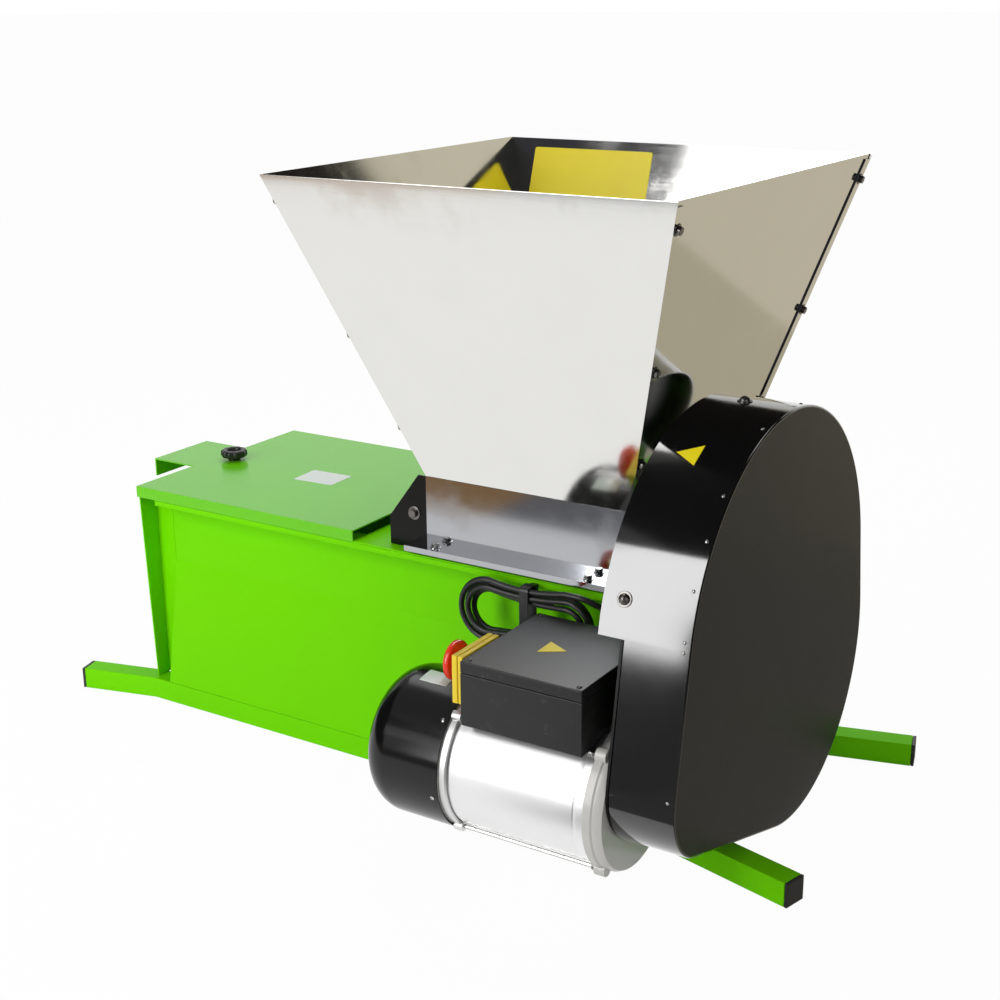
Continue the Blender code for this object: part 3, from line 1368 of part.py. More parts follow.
def build_flap(shop, face, ys, zs):
    """A flap hinged along its top edge, with a rim that clears the buttons."""
    back = face - SWITCH_PLAY
    front = back - FLAP_DEPTH
    flap = box(shop, "switch_flap", "yellow_plastic", (front, back), ys, zs)
    lip = FLAP_LIP
    hollow = box(
        shop, "hollow", None, (front + lip, back + OVERRUN), (ys[0] + lip, ys[1] - lip),
        (zs[0] + lip, zs[1] - lip),
    )
    mushroom_centre = (0, SWITCH_CENTRE_Y, SWITCH_CENTRE_HEIGHT + MUSHROOM_RISE)
    stem_hole = rod(
        shop, "stem_hole", None, MUSHROOM_STEM_RADIUS + BUTTON_PLAY, front - OVERRUN, back,
        mushroom_centre, ALONG_X, SMALL_SIDES,
    )
    cut(flap, hollow, stem_hole)
    hinge = Vector((back, SWITCH_CENTRE_Y, zs[1]))
    centre_on(flap, hinge)
    head_face = front - MUSHROOM_STANDOFF
    rim = head_face - MUSHROOM_RIM
    stem_end = front + lip
    profile = [
        (0, stem_end), (MUSHROOM_STEM_RADIUS, stem_end), (MUSHROOM_STEM_RADIUS, head_face),
        (MUSHROOM_RADIUS, head_face),
    ]
    for step in range(MUSHROOM_DOME_STEPS):
        angle = math.pi / 2 * step / MUSHROOM_DOME_STEPS
        profile.append((MUSHROOM_RADIUS * math.cos(angle), rim - MUSHROOM_DOME * math.sin(angle)))
    profile.append((0, rim - MUSHROOM_DOME))
    turned(
        shop, "stop_mushroom", "red_plastic", profile, mushroom_centre, ALONG_X, SMALL_SIDES,
    )


def stadium_point(share, run, radius):
    """A point on a loop of two runs and two folds, share going once round from the top run."""
    folds = HANK_LOOP_POINTS / 2 - HANK_RUN_POINTS
    place = share * HANK_LOOP_POINTS
    if place <= HANK_RUN_POINTS:
        return run * (0.5 - place / HANK_RUN_POINTS), radius
    place -= HANK_RUN_POINTS
    if place <= folds:
        angle = math.pi / 2 + math.pi * place / folds
        return -run / 2 + radius * math.cos(angle), radius * math.sin(angle)
    place -= folds
    if place <= HANK_RUN_POINTS:
        return run * (place / HANK_RUN_POINTS - 0.5), -radius
    angle = -math.pi / 2 + math.pi * (place - HANK_RUN_POINTS) / folds
    return run / 2 + radius * math.cos(angle), radius * math.sin(angle)


def hank_route():
    """A straight start, one layer of loops winding inwards, one winding outwards, then the tail."""
    per_layer = HANK_TURNS_IN * HANK_LOOP_POINTS
    last_index = 2 * per_layer - HANK_LOOP_POINTS // 2 + HANK_RUN_POINTS
    outer = HANK_INNER_RADIUS + HANK_TURNS_IN * HANK_STEP
    middle = hank_middle()
    points = [Vector((middle + HANK_RUN / 2 + 2 * LEAD_RADIUS, HANK_FIRST_Y, HANK_HEIGHT + outer))]
    for index in range(last_index + 1):
        inward = min(index, 2 * per_layer - index) / HANK_LOOP_POINTS
        radius = outer - HANK_STEP * inward
        share = (index % HANK_LOOP_POINTS) / HANK_LOOP_POINTS
        x, z = stadium_point(share, HANK_RUN, radius)
        pinch = max(0.0, math.cos(math.pi * x / HANK_RUN)) if abs(x) < HANK_RUN / 2 else 0.0
        z *= 1 - HANK_WAIST_SHARE * pinch
        climb = min(1.0, max(0.0, (index - per_layer) / HANK_RUN_POINTS))
        y = HANK_FIRST_Y + HANK_LAYER_STEP * climb
        points.append(Vector((middle + x, y, HANK_HEIGHT + z)))
    tail = points[-1].copy()
    for share in (1 / 3, 2 / 3, 1):
        points.append(tail + Vector((TAIL_LENGTH * share, 0, 0)))
    return points


def hank_middle():
    outer = HANK_INNER_RADIUS + HANK_TURNS_IN * HANK_STEP
    return HANK_LEFT + LEAD_RADIUS + outer + HANK_RUN / 2


def least_self_gap(points, diameter):
    """Smallest clear distance between stretches of a route that aren't neighbours."""
    dense = []
    for a, b in zip(points, points[1:]):
        dense += [a.lerp(b, step / 4) for step in range(4)]
    skip = 16
    least = min(
        (dense[i] - dense[j]).length
        for i in range(len(dense)) for j in range(i + skip, len(dense))
    )
    return least - diameter


def cord_tube(shop, name, points, resolution):
    """A round cord along a list of points, closed at both ends."""
    curve = bpy.data.curves.new(name, "CURVE")
    curve.dimensions = "3D"
    curve.bevel_depth = LEAD_RADIUS
    curve.bevel_resolution = resolution
    curve.use_fill_caps = True
    spline = curve.splines.new("POLY")
    spline.points.add(len(points) - 1)
    for point, place in zip(spline.points, points):
        point.co = (*place, 1)
    drawn = bpy.data.objects.new(name, curve)
    bpy.context.scene.collection.objects.link(drawn)
    return settle_curve(shop, name, "rubber", drawn, Matrix.Identity(4))


def lead_route(start, end):
    """The free stretch: out of the gland along +Y, round past the middle, into the hank along -X."""
    straight = 2 * LEAD_RADIUS
    first = start + Vector((0, straight, 0))
    last = end + Vector((straight, 0, 0))
    way = last - first
    middle = first + Vector(
        (way.x * LEAD_MIDDLE_X_SHARE, LEAD_MIDDLE_Y, way.z * LEAD_MIDDLE_Z_SHARE)
    )
    angle = math.radians(LEAD_MIDDLE_DEGREES)
    heading = Vector((-math.cos(angle), -math.sin(angle), 0))
    out, into, on, home = LEAD_HANDLES
    bends = (
        (first, first + Vector((0, out, 0)), middle - heading * into, middle),
        (middle, middle + heading * on, last + Vector((home, 0, 0)), last),
    )
    points = [start]
    for bend in bends:
        points += interpolate_bezier(*bend, LEAD_POINTS)[:-1]
    return points + [last, end]


def build_lead(shop):
    """Gland, free stretch, hank, tie and plug of the power lead."""
    gland_x = BOX_RIGHT - GLAND_FROM_RIGHT
    exit_y = BOX_FAR + GAP
    turned(
        shop, "cable_gland", "black_plastic",
        [(0, GLAND_LENGTH), (GLAND_TIP_RADIUS, GLAND_LENGTH), (GLAND_ROOT_RADIUS, 0), (0, 0)],
        (gland_x, exit_y, GLAND_HEIGHT), ALONG_Y @ Matrix.Rotation(math.pi, 4, "X"), ROD_SIDES,
    )
    loops = hank_route()
    clear = least_self_gap(loops, 2 * LEAD_RADIUS)
    print(f"least gap between the hank's loops: {clear * 1000:.2f} mm")
    cord_tube(shop, "lead_hank", loops, 1)
    start = Vector((gland_x, exit_y + GLAND_LENGTH + GAP, GLAND_HEIGHT))
    end = loops[0] + Vector((GAP, 0, 0))
    cord_tube(shop, "power_lead", lead_route(start, end), 2)
    build_tie(shop)
    build_plug(shop, loops[-1])


def build_tie(shop):
    """The strap round the hank's waist, with the clip that hangs it on the body's rail."""
    outer = (HANK_INNER_RADIUS + HANK_TURNS_IN * HANK_STEP) * (1 - HANK_WAIST_SHARE)
    last_y = HANK_FIRST_Y + HANK_LAYER_STEP
    low, high = HANK_HEIGHT - outer, HANK_HEIGHT + outer
    corners = [(HANK_FIRST_Y, low), (last_y, low), (last_y, high), (HANK_FIRST_Y, high)]
    inside = LEAD_RADIUS + TIE_SLACK
    outlines = [
        wrap_outline([(u, v, inside + TIE_THICK) for u, v in corners], CORNER_STEP_DEGREES),
        wrap_outline([(u, v, inside) for u, v in corners], CORNER_STEP_DEGREES),
    ]
    middle = hank_middle()
    stations = (middle - TIE_WIDTH / 2, middle + TIE_WIDTH / 2)
    tie = prism(shop, "lead_tie", "black_plastic", outlines, *stations, ALONG_X)
    top = min(BODY_TOP, high + inside) - CLIP_TOP_DROP
    clip = box(
        shop, "clip", None, (stations[0] + TIE_THICK, stations[1] - TIE_THICK),
        (last_y + inside + TIE_THICK / 2, -BODY_HALF_WIDTH - GAP), (top - CLIP_HEIGHT, top),
    )
    join(tie, clip)


def build_plug(shop, cord_end):
    """A round two-pin mains plug with a tapered boot, on the same line as the cord's end."""
    boot_end = PLUG_BOOT
    face = PLUG_BOOT + PLUG_LENGTH
    waist = PLUG_RADIUS - GLAND_TIP_RADIUS
    profile = [
        (0, face), (PLUG_RADIUS, face), (PLUG_RADIUS, face - PLUG_LENGTH / 2), (waist, boot_end),
        (GLAND_ROOT_RADIUS, boot_end), (PLUG_BOOT_TIP_RADIUS, 0), (0, 0),
    ]
    place = cord_end + Vector((GAP, 0, 0))
    plug = turned(shop, "lead_plug", "rubber", profile, place, ALONG_X, SMALL_SIDES)
    bake(plug)
    pins = []
    for side in (-1, 1):
        pins.append(rod(
            shop, "pin", None, PLUG_PIN_RADIUS, face - PLUG_PIN_RADIUS, face + PLUG_PIN_LENGTH,
            place + Vector((0, side * PLUG_PIN_SPACING / 2, 0)), ALONG_X, HOLE_SIDES,
        ))
    join(plug, *pins)


def main():
    clear_scene()
    shop = Workshop()
    build_body(shop)
    build_lid(shop)
    build_neck(shop)
    build_hopper(shop)
    build_rollers(shop)
    build_beater(shop)
    build_gears(shop)
    build_belt_drive(shop)
    build_motor(shop)
    build_guard(shop)
    build_terminal_box(shop)
    build_switch(shop)
    build_lead(shop)
    for item in shop.parts.objects:
        if item.type == "MESH" and not item.modifiers:
            smooth(item)


main()
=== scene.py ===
"""Looks of an electric grape crusher and destemmer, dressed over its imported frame.

Lengths are metres. X runs from the stem outlet towards the belt guard, -Y towards the motor and Z
up. Stations named in the machine's own coordinates (X from the hopper's upper left edge, Y from
the beater's plane) pass through at().
"""

from __future__ import annotations

import json
import logging
import math
from dataclasses import dataclass
from enum import Enum
from functools import cache
from typing import Callable, Iterable, Sequence
import bmesh  # noqa: E402
import bpy  # noqa: E402
from mathutils import Matrix, Vector  # noqa: E402
from mathutils.geometry import interpolate_bezier  # noqa: E402

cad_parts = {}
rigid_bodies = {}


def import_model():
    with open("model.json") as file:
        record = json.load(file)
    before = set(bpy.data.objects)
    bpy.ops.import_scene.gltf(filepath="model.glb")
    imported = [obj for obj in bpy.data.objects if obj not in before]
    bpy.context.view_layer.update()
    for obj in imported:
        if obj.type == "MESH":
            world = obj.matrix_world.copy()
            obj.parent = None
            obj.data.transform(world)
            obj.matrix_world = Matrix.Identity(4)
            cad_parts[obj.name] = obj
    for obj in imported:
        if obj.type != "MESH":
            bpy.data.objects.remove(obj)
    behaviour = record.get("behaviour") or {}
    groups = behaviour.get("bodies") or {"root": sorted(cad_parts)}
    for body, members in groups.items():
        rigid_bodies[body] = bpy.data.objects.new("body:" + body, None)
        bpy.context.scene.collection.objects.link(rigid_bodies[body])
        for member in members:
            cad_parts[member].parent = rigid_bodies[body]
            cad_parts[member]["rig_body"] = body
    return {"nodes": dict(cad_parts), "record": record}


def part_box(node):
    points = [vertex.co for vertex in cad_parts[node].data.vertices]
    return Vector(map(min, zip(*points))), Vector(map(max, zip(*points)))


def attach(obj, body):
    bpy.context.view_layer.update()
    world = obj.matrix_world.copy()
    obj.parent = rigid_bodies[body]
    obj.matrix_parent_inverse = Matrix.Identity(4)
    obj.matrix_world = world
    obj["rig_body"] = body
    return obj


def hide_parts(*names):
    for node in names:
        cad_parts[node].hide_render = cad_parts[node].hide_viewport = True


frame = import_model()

log = logging.getLogger("grape_crusher")

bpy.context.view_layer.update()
MACHINE_SHIFT = Vector((-0.101, 0.0595, 0.0))
WELD = 0.00001
FLAT_DEGREES = 0.6
BEVEL_DEGREES = 32.0
DRAWN_OUT = 0.02
FILM = 0.0003
STICKER_GAP = 0.0001
LABEL_CORNER = 0.003
UP = (0, 0, 1)
ALONG_X = Matrix(((0, 0, 1, 0), (1, 0, 0, 0), (0, 1, 0, 0), (0, 0, 0, 1)))
SIDES = ("near", "far")
ENDS = ("left", "right")

Pair = tuple[float, float]
Triple = tuple[float, float, float]
Profile = Sequence[Pair]
Piece = bpy.types.Object
Pieces = list[Piece]
Socket = bpy.types.NodeSocket
Material = bpy.types.Material


def at(x: float, y: float, z: float) -> Vector:
    """Turns the machine's own coordinates into the frame's."""
    return Vector((x, y, z)) + MACHINE_SHIFT


def aim(origin: Vector, direction: Vector | Sequence[float], roll: float = 0.0) -> Matrix:
    """Makes a frame whose Z axis points along a direction.

    Args:
        origin: the frame's place.
        direction: where its Z axis points.
        roll: degrees that it turns about that axis.

    Returns:
        The frame as a matrix.
    """
    turn = Vector(direction).to_track_quat("Z", "Y").to_matrix().to_4x4()
    return Matrix.Translation(origin) @ turn @ Matrix.Rotation(math.radians(roll), 4, "Z")


def standing(place: Vector, normal: Vector) -> Matrix:
    """A frame whose Z axis is a normal in the YZ plane and whose X axis is the machine's.

    Args:
        place: the frame's place.
        normal: where its Z axis points.

    Returns:
        The frame as a matrix.
    """
    along = Vector((1, 0, 0))
    turn = Matrix((along, normal.cross(along), normal)).transposed().to_4x4()
    return Matrix.Translation(place) @ turn


def shifted(x: float, y: float, z: float) -> Matrix:
    """A plain shift within a frame."""
    return Matrix.Translation((x, y, z))


def polar(radius: float, angle: float) -> Pair:
    """A point at an angle in radians on a circle about the origin."""
    return radius * math.cos(angle), radius * math.sin(angle)


# --- Shader arithmetic ---


def operator(kind: str, swapped: bool = False) -> Callable[[Term, Term | float], Term]:
    """Makes one of Term's operators.

    Args:
        kind: the Math node's operation.
        swapped: whether the term stands behind the other value.

    Returns:
        The method, which adds the node.
    """

    def apply(term: Term, other: Term | float) -> Term:
        """Adds a Math node on the term and another value."""
        return term.net.math(kind, *((other, term) if swapped else (term, other)))

    return apply


class Term:
    """A shader value that takes part in Python arithmetic."""

    __add__, __radd__ = operator("ADD"), operator("ADD", True)
    __sub__, __rsub__ = operator("SUBTRACT"), operator("SUBTRACT", True)
    __mul__, __rmul__ = operator("MULTIPLY"), operator("MULTIPLY", True)

    def __init__(self, net: Net, socket: Socket) -> None:
        """Wraps a socket of a net."""
        self.net = net
        self.socket = socket


class Net:
    """The node net of one material or world."""

    def __init__(self, owner: Material | bpy.types.World) -> None:
        """Takes over the nodes of a new material or world."""
        owner.use_nodes = True
        self.owner = owner
        self.tree = owner.node_tree
        self._place: Socket | None = None

    @classmethod
    def material(cls, name: str) -> Net:
        """Starts a material."""
        return cls(bpy.data.materials.new(name))

    def feed(self, socket: Socket, value: object) -> None:
        """Links a term or socket to an input, or sets the input's own value.

        Args:
            socket: the input.
            value: a term, a socket, a colour or another value.
        """
        if isinstance(value, Term):
            value = value.socket
        if isinstance(value, Socket):
            self.tree.links.new(value, socket)
        elif isinstance(value, tuple) and len(value) == 3 and socket.type == "RGBA":
            socket.default_value = (*value, 1.0)
        else:
            socket.default_value = value

    def node(
        self,
        kind: str,
        inputs: dict[str, object] | None = None,
        settings: dict[str, object] | None = None,
    ) -> bpy.types.Node:
        """Adds any node.

        Args:
            kind: the node's type.
            inputs: values or links by the socket's identifier or name.
            settings: the node's own properties, which are set first.

        Returns:
            The node.
        """
        made = self.tree.nodes.new(kind)
        for key, value in (settings or {}).items():
            setattr(made, key, value)
        for key, value in (inputs or {}).items():
            self.feed(next(s for s in made.inputs if key in (s.identifier, s.name)), value)
        return made

    def math(self, operation: str, first: Term | float, second: Term | float) -> Term:
        """One Math node on two values.

        Args:
            operation: the node's operation.
            first: the first value.
            second: the second value.

        Returns:
            The result.
        """
        made = self.node("ShaderNodeMath", settings={"operation": operation})
        self.feed(made.inputs[0], first)
        self.feed(made.inputs[1], second)
        return Term(self, made.outputs[0])

    def place(self) -> Socket:
        """The object coordinates."""
        if self._place is None:
            self._place = self.node("ShaderNodeTexCoord").outputs["Object"]
        return self._place

    def noise(
        self, scale: float, detail: float, roughness: float = 0.5, drawn: int | None = None
    ) -> Term:
        """Cloudy noise in object coordinates.

        Args:
            scale: features per metre.
            detail: how many finer layers it has.
            roughness: weight of the finer layers.
            drawn: the axis along which the pattern is drawn out, if any.

        Returns:
            A value round 0.5.
        """
        stretch = tuple(DRAWN_OUT if axis == drawn else 1.0 for axis in range(3))
        mapped = self.node("ShaderNodeMapping", {"Vector": self.place(), "Scale": stretch})
        made = self.node(
            "ShaderNodeTexNoise",
            {"Vector": mapped.outputs[0], "Scale": scale, "Detail": detail, "Roughness": roughness},
        )
        return Term(self, made.outputs[0])

    def step(self, value: Term, low: float, high: float) -> Term:
        """A smooth rise from 0 at low to 1 at high.

        Args:
            value: what rises.
            low: where the rise begins.
            high: where it ends.

        Returns:
            A value from 0 to 1.
        """
        made = self.node(
            "ShaderNodeMapRange",
            {"Value": value, "From Min": low, "From Max": high},
            {"interpolation_type": "SMOOTHSTEP", "clamp": True},
        )
        return Term(self, made.outputs[0])

    def blend(self, factor: Term, first: Triple, second: Triple) -> Socket:
        """A mix of two colours.

        Args:
            factor: 0 for the first colour and 1 for the second.
            first: a colour.
            second: a colour.

        Returns:
            The mixed colour.
        """
        inputs = {"Factor_Float": factor, "A_Color": first, "B_Color": second}
        made = self.node("ShaderNodeMix", inputs, {"data_type": "RGBA"})
        return next(s for s in made.outputs if s.identifier == "Result_Color")

    def clouded(self, factor: Term, colour: Triple, low: float, high: float) -> Socket:
        """A colour that drifts between two multiples of itself.

        Args:
            factor: what the colour drifts with.
            colour: the colour.
            low: the multiple at 0.
            high: the multiple at 1.

        Returns:
            The drifting colour.
        """
        darker, paler = (
            tuple(min(1.0, part * share) for part in colour) for share in (low, high)
        )
        return self.blend(factor, darker, paler)

    def bump(self, height: Term, distance: float) -> Socket:
        """A bump normal of a height in units of distance."""
        inputs = {"Height": height, "Distance": distance, "Strength": 1.0}
        return self.node("ShaderNodeBump", inputs).outputs[0]

    def glow(self, colour: Triple) -> Socket:
        """Light of a plain colour."""
        return self.node("ShaderNodeEmission", {"Color": colour, "Strength": 1.0}).outputs[0]

    def shade(self, inputs: dict[str, object]) -> Material:
        """Sets inputs of the Principled shader and returns the material.

        Args:
            inputs: values or links by the input's name.

        Returns:
            The material.
        """
        for key, value in inputs.items():
            self.feed(self.tree.nodes["Principled BSDF"].inputs[key], value)
        return self.owner

    def show(self, surface: Socket) -> None:
        """Makes another shader the material's surface."""
        self.feed(self.tree.nodes["Material Output"].inputs["Surface"], surface)


# --- Finishes ---


@dataclass(frozen=True)
class Finish:
    """What every finish has."""

    name: str
    colour: Triple
    roughness: float

    def make(self) -> Material:
        """Builds the material."""
        raise NotImplementedError


@dataclass(frozen=True)
class PowderCoat(Finish):
    """Baked powder paint: faint clouding, orange peel and a clear gloss."""

    peel: float = 0.00003
    coat: float = 0.0
    specular: float = 0.5

    def make(self) -> Material:
        """Builds the material."""
        net = Net.material(self.name)
        cloud = net.noise(scale=4.0, detail=3.0)
        peel = net.noise(scale=330.0, detail=1.0)
        dust = net.noise(scale=38.0, detail=6.0, roughness=0.7)
        return net.shade({
            "Base Color": net.clouded(cloud, self.colour, 0.93, 1.06),
            "Roughness": (cloud - 0.5) * 0.10 + (dust - 0.5) * 0.08 + self.roughness,
            "Normal": net.bump(peel, self.peel),
            "Coat Weight": self.coat,
            "Coat Roughness": 0.08,
            "Specular IOR Level": self.specular,
        })


@dataclass(frozen=True)
class MirrorSheet(Finish):
    """Polished stainless sheet with fine rolling lines, smudges and a slightly wavy surface."""

    wave: float = 0.0006
    line_depth: float = 0.0000012

    def make(self) -> Material:
        """Builds the material."""
        net = Net.material(self.name)
        lines = net.noise(scale=900.0, detail=2.0, drawn=0)
        smudge = net.noise(scale=9.0, detail=5.0, roughness=0.65)
        wave = net.noise(scale=2.6, detail=0.0)
        worn = net.step(smudge, 0.48, 0.75)
        return net.shade({
            "Base Color": net.clouded(smudge, self.colour, 0.96, 1.03),
            "Metallic": 1.0,
            "Roughness": self.roughness + worn * 0.09 + (lines - 0.5) * 0.05,
            "Normal": net.bump(wave * self.wave + lines * self.line_depth, 1.0),
        })


@dataclass(frozen=True)
class BareMetal(Finish):
    """Cast, drawn or turned metal with a grain that may run along one axis."""

    grain: float = 500.0
    depth: float = 0.00003
    line_axis: int | None = None
    stain: float = 0.12

    def make(self) -> Material:
        """Builds the material."""
        net = Net.material(self.name)
        grain = net.noise(scale=self.grain, detail=3.0, drawn=self.line_axis)
        cloud = net.noise(scale=16.0, detail=4.0)
        return net.shade({
            "Base Color": net.clouded(cloud, self.colour, 1 - self.stain, 1.05),
            "Metallic": 1.0,
            "Roughness": self.roughness + (cloud - 0.5) * 0.16 + (grain - 0.5) * 0.12,
            "Normal": net.bump(grain, self.depth),
        })


@dataclass(frozen=True)
class Moulding(Finish):
    """Moulded plastic or rubber with a fine spark-eroded grain."""

    grain: float = 1400.0
    depth: float = 0.00002
    specular: float = 0.5
    scuff: float = 0.06

    def make(self) -> Material:
        """Builds the material."""
        net = Net.material(self.name)
        grain = net.noise(scale=self.grain, detail=1.0)
        worn = net.step(net.noise(scale=55.0, detail=7.0, roughness=0.72), 0.56, 0.80)
        pale = tuple(part + (1 - part) * self.scuff for part in self.colour)
        return net.shade({
            "Base Color": net.blend(worn, self.colour, pale),
            "Roughness": self.roughness + worn * 0.12 + (grain - 0.5) * 0.10,
            "Normal": net.bump(grain, self.depth),
            "Specular IOR Level": self.specular,
        })


@dataclass(frozen=True)
class PlainLabel(Finish):
    """A bare printed film or enamelled plate without any lettering."""

    ripple: float = 0.00005

    def make(self) -> Material:
        """Builds the material."""
        net = Net.material(self.name)
        cloud = net.noise(scale=30.0, detail=4.0)
        return net.shade({
            "Base Color": net.clouded(cloud, self.colour, 0.95, 1.04),
            "Roughness": self.roughness + (cloud - 0.5) * 0.2,
            "Normal": net.bump(net.noise(scale=70.0, detail=1.0), self.ripple),
        })


BLACK = (0.004, 0.004, 0.004)
LIME = PowderCoat("lime_powder_coat", (0.172, 0.690, 0.001), 0.32, specular=0.05)
# The lid's copy of the body's green is darker: painted shade on its top face.
LIME_LID_SHADED = PowderCoat("lime_lid_shaded_coat", (0.140, 0.580, 0.002), 0.24, specular=0.4)
GUARD_RIM = PowderCoat("gloss_black_paint", BLACK, 0.09, 0.000006, 1.0)
GUARD_FACE = PowderCoat("guard_face_paint", (0.036, 0.035, 0.030), 0.34, 0.00002, 0.0, 0.12)
COWL_PAINT = PowderCoat("cowl_black_paint", (0.003, 0.003, 0.003), 0.15, 0.00001, 0.0, 0.38)
BRACKET_BLACK = PowderCoat("bracket_black_paint", BLACK, 0.30, specular=0.22)
SHIELD_PAINT = PowderCoat("silver_shield_paint", (0.56, 0.55, 0.52), 0.42, coat=0.3)
HOPPER_SHEET = MirrorSheet("hopper_mirror_sheet", (0.79, 0.785, 0.755), 0.075)
# The neck's and roller guides' copy of the hopper's stainless is darker: painted shade under the
# hopper.
NECK_SHADED_SHEET = MirrorSheet("neck_shaded_mirror_sheet", (0.46, 0.47, 0.49), 0.08)
TROUGH_SHEET = MirrorSheet("trough_sheet", (0.66, 0.66, 0.65), 0.2)
STATOR = BareMetal("stator_aluminium", (0.88, 0.88, 0.88), 0.42, 420.0, 0.00006, 0, 0.06)
CASTING = BareMetal("cast_aluminium", (0.80, 0.80, 0.79), 0.46, 260.0, 0.00008)
STEEL = BareMetal("turned_steel", (0.50, 0.50, 0.51), 0.32)
ZINC = BareMetal("zinc_plated_steel", (0.62, 0.62, 0.60), 0.26, 700.0, 0.00002)
DARK_ZINC = BareMetal("dark_bolt_steel", (0.22, 0.21, 0.20), 0.34, 700.0, 0.00002)
BOX_PLASTIC = Moulding("terminal_box_plastic", (0.015, 0.015, 0.015), 0.44, specular=0.42)
BLACK_PLASTIC = Moulding("black_moulding", (0.014, 0.014, 0.015), 0.36)
RUBBER = Moulding("lead_rubber", (0.012, 0.012, 0.012), 0.42, 900.0, 0.00003)
BELT_RUBBER = Moulding("belt_rubber", (0.016, 0.016, 0.016), 0.7, 600.0, 0.00006)
YELLOW = Moulding("switch_yellow", (0.84, 0.62, 0.022), 0.30, depth=0.00001)
RED = Moulding("switch_red", (0.78, 0.035, 0.010), 0.26, depth=0.00001)
GREEN_BUTTON = Moulding("start_green", (0.02, 0.35, 0.06), 0.30)
ROLLER = Moulding("roller_plastic", (0.58, 0.58, 0.55), 0.42)
YELLOW_PLATE = PlainLabel("plain_yellow_plate", (1.0, 0.80, 0.006), 0.34)
PALE_LABEL = PlainLabel("plain_pale_label", (0.72, 0.78, 0.74), 0.32)


@cache
def material_of(finish: Finish) -> Material:
    """The material of a finish, made once."""
    return finish.make()


# --- Shaping ---


SLOTS = {row["node"]: row["material_slot"] for row in frame["record"]["subparts"]}


def linked(name: str, data: bpy.types.ID) -> Piece:
    """A new object that shows some data in the scene.

    Args:
        name: the object's name.
        data: the mesh, curve, light or camera data.

    Returns:
        The object.
    """
    item = bpy.data.objects.new(name, data)
    bpy.context.scene.collection.objects.link(item)
    return item


def verts_in(geometry: Iterable[object]) -> list[bmesh.types.BMVert]:
    """The vertices among some geometry."""
    return [item for item in geometry if isinstance(item, bmesh.types.BMVert)]


